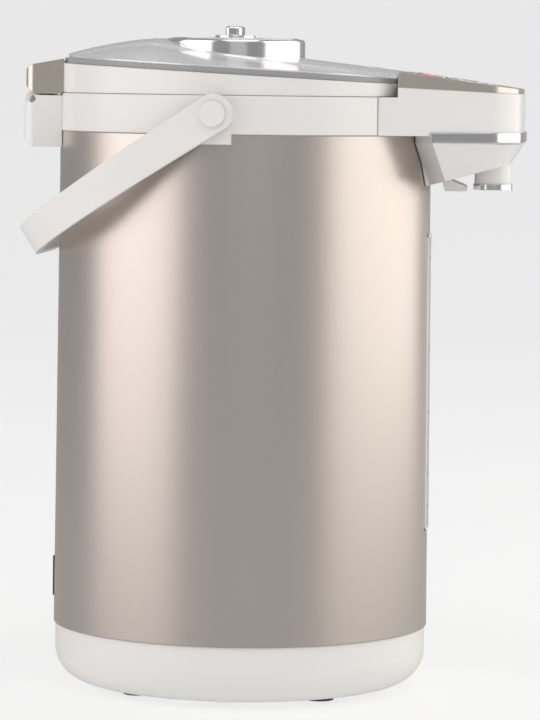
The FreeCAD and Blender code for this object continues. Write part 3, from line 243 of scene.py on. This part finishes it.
# %% Grain of a moulding
grain, start, end = open_group("moulded grain", [("Scale", FLOAT, 900.0)], [("Height", FLOAT)])
grain.links.new(noise_at(grain, start.outputs["Scale"], 3.0), end.inputs["Height"])
print("moulded grain:", len(grain.nodes), "nodes")

# %% [markdown]
# ## Rubbed edges
# Hands and cloths touch the edges first. A rounded normal differs from the true one only near an edge, so
# the two compared give a mask along the edges, and noise breaks it into patches.

# %% Edge rub
BEVEL_SAMPLES = 4


def times(tree, one, two):
    """The product of two sockets."""
    product = node(tree, "Math", operation="MULTIPLY")
    tree.links.new(one, product.inputs[0])
    tree.links.new(two, product.inputs[1])
    return product.outputs["Value"]


rub, start, end = open_group("edge rub", [("Width", FLOAT, 0.001), ("Breakup", FLOAT, 60.0)],
                             [("Mask", FLOAT)])
soft = node(rub, "Bevel", samples=BEVEL_SAMPLES)
rub.links.new(start.outputs["Width"], soft.inputs["Radius"])
same = node(rub, "VectorMath", operation="DOT_PRODUCT")
rub.links.new(soft.outputs["Normal"], same.inputs[0])
rub.links.new(node(rub, "NewGeometry").outputs["Normal"], same.inputs[1])
turned_away = remap(rub, same.outputs["Value"], From_Min=0.995, From_Max=0.86)
patchy = noise_at(rub, start.outputs["Breakup"], 3.0)
uneven = remap(rub, patchy, From_Min=0.35, From_Max=0.65, To_Min=0.25)
rub.links.new(times(rub, turned_away, uneven), end.inputs["Mask"])
print("edge rub:", len(rub.nodes), "nodes")

# %% [markdown]
# ## Dust
# Dust rests only where a surface looks up, and it gathers in specks. The upward part of the normal and
# fine noise, one times the other, give the mask.

# %% Resting dust
SPECK_SCALE = 240
dust, start, end = open_group("resting dust", [("Amount", FLOAT, 0.2)], [("Mask", FLOAT)])
parts_of_normal = node(dust, "SeparateXYZ")
dust.links.new(node(dust, "NewGeometry").outputs["Normal"], parts_of_normal.inputs["Vector"])
upward = remap(dust, parts_of_normal.outputs["Z"], From_Min=0.75, From_Max=1.0)
speck_scale = node(dust, "Value")
speck_scale.outputs[0].default_value = SPECK_SCALE
specks = noise_at(dust, speck_scale.outputs[0], 6.0)
clumps = remap(dust, specks, From_Min=0.5, From_Max=0.75)
settled = times(dust, upward, clumps)
dust.links.new(times(dust, settled, start.outputs["Amount"]), end.inputs["Mask"])
print("resting dust:", len(dust.nodes), "nodes")

# %% [markdown]
# ## Drawn lines
# Drawn and turned metal carries fine lines that run round the piece. Noise that is squeezed along the
# upright axis gives them.

# %% Lines of drawn metal
LINE_SQUEEZE = (1.0, 1.0, 26.0)
drawn, start, end = open_group("drawn lines", [("Scale", FLOAT, 40.0)],
                               [("Height", FLOAT), ("Tone", FLOAT)])
lines = noise_at(drawn, start.outputs["Scale"], 5.0, LINE_SQUEEZE)
drawn.links.new(lines, end.inputs["Height"])
drawn.links.new(remap(drawn, lines, From_Min=0.3, From_Max=0.7), end.inputs["Tone"])
print("drawn lines:", len(drawn.nodes), "nodes")

# %% [markdown]
# ## Metal flake
# A metallic coat holds tiny flakes, each with a brightness of its own. The cells of a Voronoi texture are
# such flakes: their random colour gives the tone, and the distance inside each cell gives the height.

# %% Flakes of a metallic coat
flake, start, end = open_group("metal flake", [("Scale", FLOAT, 2600.0)],
                               [("Tone", FLOAT), ("Height", FLOAT)])
chips = node(flake, "TexVoronoi")
flake.links.new(node(flake, "TexCoord").outputs["Object"], chips.inputs["Vector"])
flake.links.new(start.outputs["Scale"], chips.inputs["Scale"])
grey = node(flake, "RGBToBW")
flake.links.new(chips.outputs["Color"], grey.inputs["Color"])
flake.links.new(grey.outputs["Val"], end.inputs["Tone"])
flake.links.new(chips.outputs["Distance"], end.inputs["Height"])
print("shared effects:", [tree.name for tree in bpy.data.node_groups])

# %% [markdown]
# ## The recipe
# A finish is one Principled shader with the shared effects wired in front of it. A recipe function keeps
# the wiring in one place: it drifts between two tones, lightens rubbed edges, adds dust, varies the
# roughness, and turns a grain into a bump. A rounded normal under the bump makes every edge catch the
# light as a moulded radius does.

# %% A recipe for any finish
MM_PER_METRE = 1000
EDGE_ROUNDING = 0.0009
DUST_COLOUR, COAT_ROUGHNESS = (0.62, 0.60, 0.56), 0.08
FLAKE_SHARE, FLAKE_LIFT, RUB_LIFT = 0.35, 1.14, 1.12
TEXTURES = {"grain": grain, "flake": flake, "drawn": drawn}
finishes = {}


def group_node(tree, which, **amounts):
    """A shared effect placed in a material, with its amounts set."""
    made = tree.nodes.new("ShaderNodeGroup")
    made.node_tree = which
    for key, amount in amounts.items():
        made.inputs[key].default_value = amount
    return made


def colour_mix(tree, factor, under, over):
    """Lays one colour over another by a mask, and returns the result's socket."""
    mix = node(tree, "Mix", data_type="RGBA")
    under_socket, over_socket = colour_sockets(mix.inputs)
    tree.links.new(factor, mix.inputs["Factor"])
    tree.links.new(under, under_socket)
    over_socket.default_value = (*over, 1)
    return colour_sockets(mix.outputs)[0]


def lifted(colour, by):
    """A brighter colour, kept within white."""
    return [min(1.0, part * by) for part in colour]


def finish(name, light, shade, rough, metal=0.0, grain_scale=900.0, bump=0.02, rubbed=None,
           rub_width=0.0008, dusty=0.15, coat=0.0, texture="grain", rough_spread=0.06, drift_scale=9.0,
           see_through=0.0, ior=1.46):
    """A material with tone, wear, dust and grain. The bump is in millimetres."""
    material = bpy.data.materials.new(name)
    material.use_nodes = True
    tree = material.node_tree
    shader = tree.nodes["Principled BSDF"]
    tones = group_node(tree, drift, Light=(*light, 1), Shade=(*shade, 1), Scale=drift_scale)
    colour = tones.outputs["Colour"]
    relief = group_node(tree, TEXTURES[texture], Scale=grain_scale)
    if texture != "grain":
        tinted = remap(tree, relief.outputs["Tone"], To_Min=0.0, To_Max=FLAKE_SHARE)
        colour = colour_mix(tree, tinted, colour, lifted(light, FLAKE_LIFT))
    worn = group_node(tree, rub, Width=rub_width)
    colour = colour_mix(tree, worn.outputs["Mask"], colour, rubbed or lifted(light, RUB_LIFT))
    settled = group_node(tree, dust, Amount=dusty)
    colour = colour_mix(tree, settled.outputs["Mask"], colour, DUST_COLOUR)
    tree.links.new(colour, shader.inputs["Base Color"])
    roughness = remap(tree, relief.outputs[0], To_Min=rough - rough_spread, To_Max=rough + rough_spread)
    tree.links.new(roughness, shader.inputs["Roughness"])
    rounded = node(tree, "Bevel", samples=BEVEL_SAMPLES, Radius=EDGE_ROUNDING)
    pressed = node(tree, "Bump", Strength=1.0, Distance=bump / MM_PER_METRE)
    tree.links.new(rounded.outputs["Normal"], pressed.inputs["Normal"])
    tree.links.new(relief.outputs["Height"], pressed.inputs["Height"])
    tree.links.new(pressed.outputs["Normal"], shader.inputs["Normal"])
    for socket, amount in (("Metallic", metal), ("Coat Weight", coat), ("Coat Roughness", COAT_ROUGHNESS),
                           ("Transmission Weight", see_through), ("IOR", ior)):
        shader.inputs[socket].default_value = amount
    finishes[name] = material
    return material


print("textures to choose from:", list(TEXTURES))

# %% [markdown]
# ## Outer finishes
# The mouldings are a warm satin white. The sleeve is a champagne coat over metal, so it is metallic with a
# fine flake. The lid's top is a glossy silver pearl, and the ledge round it is grey.

# %% Mouldings and coats
finish("warm white", (0.80, 0.785, 0.765), (0.775, 0.76, 0.74), 0.34, grain_scale=1400, bump=0.006,
       coat=0.12)
finish("handle white", (0.80, 0.79, 0.775), (0.78, 0.77, 0.755), 0.38, grain_scale=1100, bump=0.008)
finish("champagne coat", (0.65, 0.585, 0.54), (0.63, 0.565, 0.52), 0.36, metal=1.0, texture="flake",
       grain_scale=2600, bump=0.0012, rough_spread=0.03, dusty=0.03, drift_scale=4, rub_width=0.0004)
finish("champagne gloss", (0.66, 0.60, 0.53), (0.64, 0.58, 0.51), 0.24, metal=0.8, texture="flake",
       grain_scale=2600, bump=0.001, rough_spread=0.03, dusty=0.05, coat=0.4)
finish("silver pearl", (0.86, 0.86, 0.87), (0.83, 0.83, 0.84), 0.26, metal=0.35, texture="flake",
       grain_scale=3000, bump=0.0008, rough_spread=0.03, dusty=0.04, coat=0.5)
finish("mid grey", (0.36, 0.355, 0.345), (0.32, 0.315, 0.31), 0.42, grain_scale=1300, bump=0.008)
print("outer finishes:", list(finishes))

# %% [markdown]
# ## Metals
# The disc and the trim are bright plating, and the vessel inside is drawn steel. Screws are plated more
# dully, the heater plate is cast, and the pins of the inlet are turned brass.

# %% Plating, steel, aluminium and brass
finish("bright plating", (0.87, 0.875, 0.88), (0.84, 0.845, 0.85), 0.17, metal=1.0, grain_scale=700,
       bump=0.0008, rough_spread=0.025, dusty=0.03)
finish("drawn steel", (0.66, 0.655, 0.65), (0.60, 0.595, 0.59), 0.26, metal=1.0, texture="drawn",
       grain_scale=60, bump=0.004, dusty=0.02)
finish("plated screw", (0.52, 0.52, 0.54), (0.45, 0.45, 0.46), 0.34, metal=1.0, bump=0.01)
finish("cast aluminium", (0.66, 0.66, 0.66), (0.58, 0.58, 0.58), 0.46, metal=1.0, grain_scale=500,
       bump=0.03)
finish("turned brass", (0.70, 0.52, 0.24), (0.62, 0.45, 0.20), 0.25, metal=1.0, texture="drawn",
       grain_scale=90, bump=0.003)
print("finishes with the metals:", len(finishes))

# %% [markdown]
# ## Rubber, resin and the inside
# The feet are black rubber, the tubes pale silicone and the frame black resin. The display is a smoked
# window, and the water gauge is clear resin that lets most light through. A felt jacket and a mica band
# wrap the vessel, and the boards are green.

# %% Soft, dark and clear finishes
finish("black rubber", (0.035, 0.035, 0.036), (0.05, 0.05, 0.05), 0.72, grain_scale=700, bump=0.03,
       rubbed=(0.10, 0.10, 0.10), dusty=0.4)
finish("pale silicone", (0.72, 0.70, 0.66), (0.66, 0.64, 0.60), 0.5, grain_scale=600, bump=0.01)
finish("black resin", (0.030, 0.030, 0.032), (0.045, 0.045, 0.047), 0.44, rubbed=(0.12, 0.12, 0.12))
finish("smoked window", (0.018, 0.020, 0.024), (0.026, 0.028, 0.032), 0.09, bump=0.0005, coat=0.6,
       rough_spread=0.02)
finish("green board", (0.025, 0.13, 0.055), (0.03, 0.17, 0.07), 0.34, grain_scale=300)
finish("pressed felt", (0.66, 0.63, 0.55), (0.56, 0.53, 0.46), 0.92, grain_scale=420, bump=0.3,
       rough_spread=0.04)
finish("mica band", (0.30, 0.27, 0.24), (0.38, 0.34, 0.30), 0.5, metal=0.5)
finish("clear resin", (0.90, 0.93, 0.94), (0.86, 0.90, 0.92), 0.08, see_through=0.92, bump=0.0006,
       rough_spread=0.02, ior=1.49, dusty=0.02)
print("finishes with the inside:", len(finishes))

# %% [markdown]
# ## Paper that glows
# The paper in the photograph is almost white, even behind the pot. It gets a little light of its own.
# Plating and satin metal would mirror that as a glare, so in reflections the paper glows less.

# %% Paper finish
PAPER_GLOW, PAPER_IN_REFLECTIONS = 0.66, 0.30
finish("paper", (0.27, 0.27, 0.27), (0.265, 0.265, 0.265), 0.85, grain_scale=300, dusty=0,
       drift_scale=0.7)
paper.data.materials.append(finishes["paper"])
paper_tree = finishes["paper"].node_tree
paper_shader = paper_tree.nodes["Principled BSDF"]
in_reflection = node(paper_tree, "LightPath").outputs["Is Glossy Ray"]
glow_seen = node(paper_tree, "Value")
glow_seen.outputs[0].default_value = PAPER_GLOW
dimmed = remap(paper_tree, in_reflection, To_Min=1.0, To_Max=PAPER_IN_REFLECTIONS)
paper_tree.links.new(times(paper_tree, dimmed, glow_seen.outputs[0]),
                     paper_shader.inputs["Emission Strength"])
paper_shader.inputs["Emission Color"].default_value = (1, 1, 1, 1)
print("paper glow", PAPER_GLOW, "and in reflections", round(PAPER_GLOW * PAPER_IN_REFLECTIONS, 3))

# %% [markdown]
# ## Lamps and figures
# A lit lamp and a lit figure shine a little in their own colour, so their shader gives light too.

# %% Lit finishes
LIT_STRENGTH = 1.2
for name, glow in (("green lamp", (0.10, 0.85, 0.30)), ("red figures", (1.0, 0.16, 0.06))):
    lit = finish(name, glow, glow, 0.3, bump=0.0005, dusty=0).node_tree.nodes["Principled BSDF"]
    lit.inputs["Emission Color"].default_value = (*glow, 1)
    lit.inputs["Emission Strength"].default_value = LIT_STRENGTH
print("finishes:", len(finishes))

# %% [markdown]
# ## Which part wears which finish
# The solids arrive with a plain stand-in material. Each one gives up its slot to the finish of the real
# part. One table says who wears what, so a finish can be changed in one place.

# %% Dress the solids
WEARS = {
    "warm white": ["base_cover", "bottom_plate", "upper_collar", "spout_hood", "spout_nozzle",
                   "cup_lever", "pivot_plate_left", "pivot_plate_right", "pivot_pin_left",
                   "pivot_pin_right", "hinge_block", "lid_ring"],
    "handle white": ["bail_handle"],
    "champagne coat": ["body_sleeve"],
    "champagne gloss": ["control_panel", "hinge_cap", "dispense_button", "lock_button", "warm_button",
                        "boil_button"],
    "silver pearl": ["lid_cover", "lid_latch"],
    "mid grey": ["lid_ledge"],
    "bright plating": ["press_disc", "lock_knob", "trim_strip", "nozzle_ring"],
    "drawn steel": ["inner_pot", "boil_thermostat", "temperature_probe", "hinge_pin", "latch_pin",
                    "cup_lever_pin", "bellows_spring"],
    "plated screw": ["base_screws", "pump_motor"],
    "cast aluminium": ["heater_plate"],
    "black rubber": ["rubber_feet"],
    "pale silicone": ["suction_pipe", "outlet_elbow", "spout_pipe", "lid_gasket", "air_valve",
                      "air_bellows", "pump_impeller"],
    "black resin": ["inner_frame", "pot_stand", "power_inlet", "thermal_fuse", "pump_housing",
                    "power_board_parts", "inner_lid"],
    "smoked window": ["display_window"],
    "green board": ["power_board", "control_board"],
    "pressed felt": ["insulation_jacket"],
    "mica band": ["warming_band"],
    "turned brass": ["inlet_pins"],
    "clear resin": ["gauge_window", "level_tube"],
}
for finish_name, members in WEARS.items():
    for member in members:
        piece = nodes[member]
        piece.data.materials.clear()
        piece.data.materials.append(finishes[finish_name])
print("dressed:", sum(len(members) for members in WEARS.values()), "of", len(nodes))

# %% [markdown]
# ## Small trim
# The solids carry what moves and fits. What is left is thin trim: rings on the disc, a frame and marks for
# the gauge, rings and lamps for the keys, and figures in the display, and with them dark beads of painted
# shadow in the seams. Each is a small mesh that rides on the body it is fixed to.
# The press disc comes first. Three fine raised rings run round it, so a palm doesn't slip. Each is a bead:
# a small round section, turned about the disc's axis.

# %% Rings on the press disc
RING_SHARES, RING_BEAD, RING_STEPS = (0.42, 0.66, 0.90), 0.00045, 96


def add_piece(name, bm, finish_name, body, smooth=True):
    """Turns a bmesh into a piece that wears a finish and rides on a body."""
    bmesh.ops.recalc_face_normals(bm, faces=bm.faces)
    mesh = bpy.data.meshes.new(name)
    bm.to_mesh(mesh)
    bm.free()
    for polygon in mesh.polygons:
        polygon.use_smooth = smooth
    piece = link(bpy.data.objects.new(name, mesh))
    piece.data.materials.append(finishes[finish_name])
    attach(piece, body)


def round_section(radius, centre, steps=8):
    """A round profile for a bead."""
    return [(centre[0] + radius * math.cos(math.tau * step / steps),
             centre[1] + radius * math.sin(math.tau * step / steps)) for step in range(steps)]


def ring_of(bm, profile, steps, centre, start=0.0, sweep=math.tau):
    """Turns a closed profile of (radius, height) about an upright axis."""
    closed = abs(sweep - math.tau) < 1e-6
    count = steps if closed else steps + 1
    loops = []
    for step in range(count):
        angle = start + sweep * step / steps
        loops.append([bm.verts.new((centre[0] + radius * math.cos(angle),
                                    centre[1] + radius * math.sin(angle), centre[2] + height))
                      for radius, height in profile])
    for step in range(steps):
        one, two = loops[step], loops[(step + 1) % count]
        for index in range(len(profile)):
            after = (index + 1) % len(profile)
            bm.faces.new((one[index], one[after], two[after], two[index]))
    if not closed:
        bm.faces.new(loops[0])
        bm.faces.new(loops[-1])


disc_low, disc_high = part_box("press_disc")
disc_centre = (disc_low + disc_high) / 2
disc_radius = (disc_high.x - disc_low.x) / 2
bm = bmesh.new()
for share in RING_SHARES:
    ring_of(bm, round_section(RING_BEAD, (disc_radius * share, disc_high.z)), RING_STEPS,
            (disc_centre.x, disc_centre.y, 0))
add_piece("disc_rings", bm, "bright plating", "disc")
print("disc rings at radius", [round(disc_radius * share * MM_PER_METRE, 1) for share in RING_SHARES])

# %% [markdown]
# ## Copies of the bellows and the spring
# Under the press disc a folded bellows and a coil spring stand on the lid's floor. They can't move as
# rigid parts; each one is hidden, and a copy with a mesh of its own stands in its place.

# %% Copy the bellows and the spring
for soft_node in ("air_bellows", "bellows_spring"):
    soft_piece = link(nodes[soft_node].copy())
    soft_piece.data = soft_piece.data.copy()
    soft_piece.name = soft_node + "_flexing"
    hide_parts(soft_node)
    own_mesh(soft_piece)

# %% [markdown]
# ## Painted shadow in the seams
# A moulding never meets sheet metal without a shadow, and here that shadow is painted: a fine dark bead of
# painted shadow lies in the joint between the sleeve and the collar, and another in the joint between the
# collar and the lid. The second one is an arc, because the hood covers that joint at the front.

# %% Beads of painted shadow at the seams
SLEEVE_BEAD, SLEEVE_BEAD_SINK = 0.00035, 0.0002
LID_BEAD, LID_BEAD_SINK = 0.0003, 0.0006
LID_BEAD_START, LID_BEAD_SWEEP = math.radians(-50), math.radians(280)
SEAM_STEPS = 128
collar_low, collar_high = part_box("upper_collar")
sleeve_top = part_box("body_sleeve")[1].z
ring_low, ring_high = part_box("lid_ring")
collar_radius = (collar_high.x - collar_low.x) / 2
lid_seam = (collar_high.z + ring_low.z) / 2
bm = bmesh.new()
ring_of(bm, round_section(SLEEVE_BEAD, (collar_radius - SLEEVE_BEAD_SINK, sleeve_top)), SEAM_STEPS,
        (0, 0, 0))
ring_of(bm, round_section(LID_BEAD, (ring_high.x - LID_BEAD_SINK, lid_seam)), SEAM_STEPS,
        (0, 0, 0), LID_BEAD_START, LID_BEAD_SWEEP)
# These mid grey beads are painted shadow in the seams, not parts of the pot.
add_piece("painted_seam_shadow", bm, "mid grey", "pot")
print("seam heights", round(sleeve_top * MM_PER_METRE, 1), round(lid_seam * MM_PER_METRE, 1))

# %% [markdown]
# ## The water gauge
# The gauge sits under the spout, and a thin white frame holds its window. The sleeve leans in slightly
# toward the top, and the frame leans with it. Four boxes with rounded edges make the frame.

# %% Frame of the gauge
GAUGE_LEAN = -0.0059
BAR_WIDTH, BAR_DEPTH, BAR_EDGE = 0.0018, 0.0016, 0.0004
SIDE_BAR_SINK, END_BAR_SINK = 0.0004, 0.0003


def soft_box(bm, size, matrix, edge):
    """A box with rounded edges at a place."""
    made = bmesh.ops.create_cube(bm, size=1.0, matrix=matrix @ Matrix.Diagonal((*size, 1)))
    edges = list({side for vert in made["verts"] for side in vert.link_edges})
    bmesh.ops.bevel(bm, geom=edges, offset=edge, segments=2, affect="EDGES", profile=0.5)


gauge_low, gauge_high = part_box("gauge_window")
gauge_tall, gauge_wide = gauge_high.z - gauge_low.z, gauge_high.x - gauge_low.x
gauge_place = Matrix.Translation((0, gauge_low.y + GAUGE_LEAN * -gauge_tall / 2,
                                  (gauge_low.z + gauge_high.z) / 2)) @ Matrix.Rotation(GAUGE_LEAN, 4, "X")
bm = bmesh.new()
for side in (-1, 1):
    side_bar = Matrix.Translation((side * (gauge_wide + BAR_WIDTH) / 2, SIDE_BAR_SINK, 0))
    end_bar = Matrix.Translation((0, END_BAR_SINK, side * (gauge_tall + BAR_WIDTH) / 2))
    soft_box(bm, (BAR_WIDTH, BAR_DEPTH, gauge_tall + 2 * BAR_WIDTH), gauge_place @ side_bar, BAR_EDGE)
    soft_box(bm, (gauge_wide + 2 * BAR_WIDTH, BAR_DEPTH, BAR_WIDTH), gauge_place @ end_bar, BAR_EDGE)
add_piece("gauge_frame", bm, "warm white", "pot")
print("gauge frame", round(gauge_tall * MM_PER_METRE, 1), "mm tall inside")

# %% [markdown]
# ## Level marks
# Short marks along the window's edge say how full the pot is, with a longer one at each end. They carry no
# numbers.

# %% Marks on the gauge
MARKS, MARKS_SHARE, MARKS_EDGE_SHARE = 9, 0.86, 0.42
LONG_MARK, SHORT_MARK = 0.0075, 0.0042
MARK_DEPTH, MARK_HEIGHT, MARK_EDGE, MARK_PROUD = 0.0004, 0.0006, 0.0001, 0.00005
bm = bmesh.new()
for mark in range(MARKS):
    rise = (mark / (MARKS - 1) - 0.5) * gauge_tall * MARKS_SHARE
    wide = LONG_MARK if mark in (0, MARKS - 1) else SHORT_MARK
    mark_place = Matrix.Translation((gauge_wide * MARKS_EDGE_SHARE - wide / 2, -MARK_PROUD, rise))
    soft_box(bm, (wide, MARK_DEPTH, MARK_HEIGHT), gauge_place @ mark_place, MARK_EDGE)
add_piece("gauge_marks", bm, "mid grey", "pot", smooth=False)
print("gauge marks:", MARKS)

# %% [markdown]
# ## The keys
# Every key sits in a fine bright ring and has a lamp beside it. They lie on the panel's slope, so a small
# function gives a place on that slope, and another carries what was made at the origin to such a place.

# %% Key rings and lamps
KEYS = ("dispense_button", "lock_button", "warm_button", "boil_button")
PANEL_SLOPE = math.radians(7.88)
KEY_BEAD, KEY_BEAD_GAP, KEY_RING_STEPS = 0.0004, 0.0007, 48
LAMP_SIZE, LAMP_EDGE = (0.0026, 0.0010, 0.0006), 0.00015
LAMP_GAP, LAMP_LIFT = 0.0032, 0.0001
panel_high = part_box("control_panel")[1]


def on_panel(across, deep, lift=0.0):
    """A place on the panel's slope with its axes lying in the slope."""
    rise = (deep - panel_high.y) * math.tan(PANEL_SLOPE)
    return Matrix.Translation((across, deep, panel_high.z + rise)) \
        @ Matrix.Rotation(PANEL_SLOPE, 4, "X") @ Matrix.Translation((0, 0, lift))


def stamp(bm, matrix, make):
    """Makes geometry at the origin and moves only that geometry to a place."""
    before = set(bm.verts)
    make(bm)
    bmesh.ops.transform(bm, matrix=matrix, verts=[vert for vert in bm.verts if vert not in before])


rings, lamps = bmesh.new(), bmesh.new()
for key in KEYS:
    key_low, key_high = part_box(key)
    centre_x = (key_low.x + key_high.x) / 2
    reach = (key_high.x - key_low.x) / 2
    centre_y = key_high.y - reach * math.cos(PANEL_SLOPE)
    stamp(rings, on_panel(centre_x, centre_y), lambda bm: ring_of(
        bm, round_section(KEY_BEAD, (reach + KEY_BEAD_GAP, 0)), KEY_RING_STEPS, (0, 0, 0)))
    stamp(lamps, on_panel(centre_x, centre_y + reach + LAMP_GAP, LAMP_LIFT), lambda bm: soft_box(
        bm, LAMP_SIZE, Matrix(), LAMP_EDGE))
add_piece("key_rings", rings, "bright plating", "pot")
add_piece("key_lamps", lamps, "green lamp", "pot", smooth=False)
print("keys trimmed:", len(KEYS))

# %% [markdown]
# ## The display
# The display shows the water's temperature as two seven-segment figures. Each segment has a place, as
# shares of a figure's half width and half height, and says whether it stands upright. A figure leaves
# some of its segments unlit.

# %% Figures in the display
SEGMENTS = {"top": (0, 1, False), "middle": (0, 0, False), "bottom": (0, -1, False),
            "upper left": (-1, 0.5, True), "upper right": (1, 0.5, True),
            "lower left": (-1, -0.5, True), "lower right": (1, -0.5, True)}
UNLIT = {"9": ["lower left"], "8": []}
FIGURE_HALF_WIDTH, FIGURE_HALF_HEIGHT, STROKE = 0.0021, 0.0036, 0.0007
FIGURE_SHIFT, FIGURE_DEPTH, FIGURE_EDGE, FIGURE_LIFT = 0.0042, 0.0003, 0.00005, 0.0001
display_low, display_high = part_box("display_window")
display_place = on_panel((display_low.x + display_high.x) / 2, (display_low.y + display_high.y) / 2,
                         FIGURE_LIFT)
upright_size = (STROKE, FIGURE_HALF_HEIGHT - STROKE, FIGURE_DEPTH)
level_size = (2 * FIGURE_HALF_WIDTH - STROKE, STROKE, FIGURE_DEPTH)
bm = bmesh.new()
for shift, figure in ((-FIGURE_SHIFT, "9"), (FIGURE_SHIFT, "8")):
    for segment, (side, level, upright) in SEGMENTS.items():
        if segment in UNLIT[figure]:
            continue
        segment_place = Matrix.Translation((shift + side * FIGURE_HALF_WIDTH, level * FIGURE_HALF_HEIGHT, 0))
        soft_box(bm, upright_size if upright else level_size, display_place @ segment_place, FIGURE_EDGE)
add_piece("display_figures", bm, "red figures", "pot", smooth=False)
print("display shows", "".join(UNLIT))
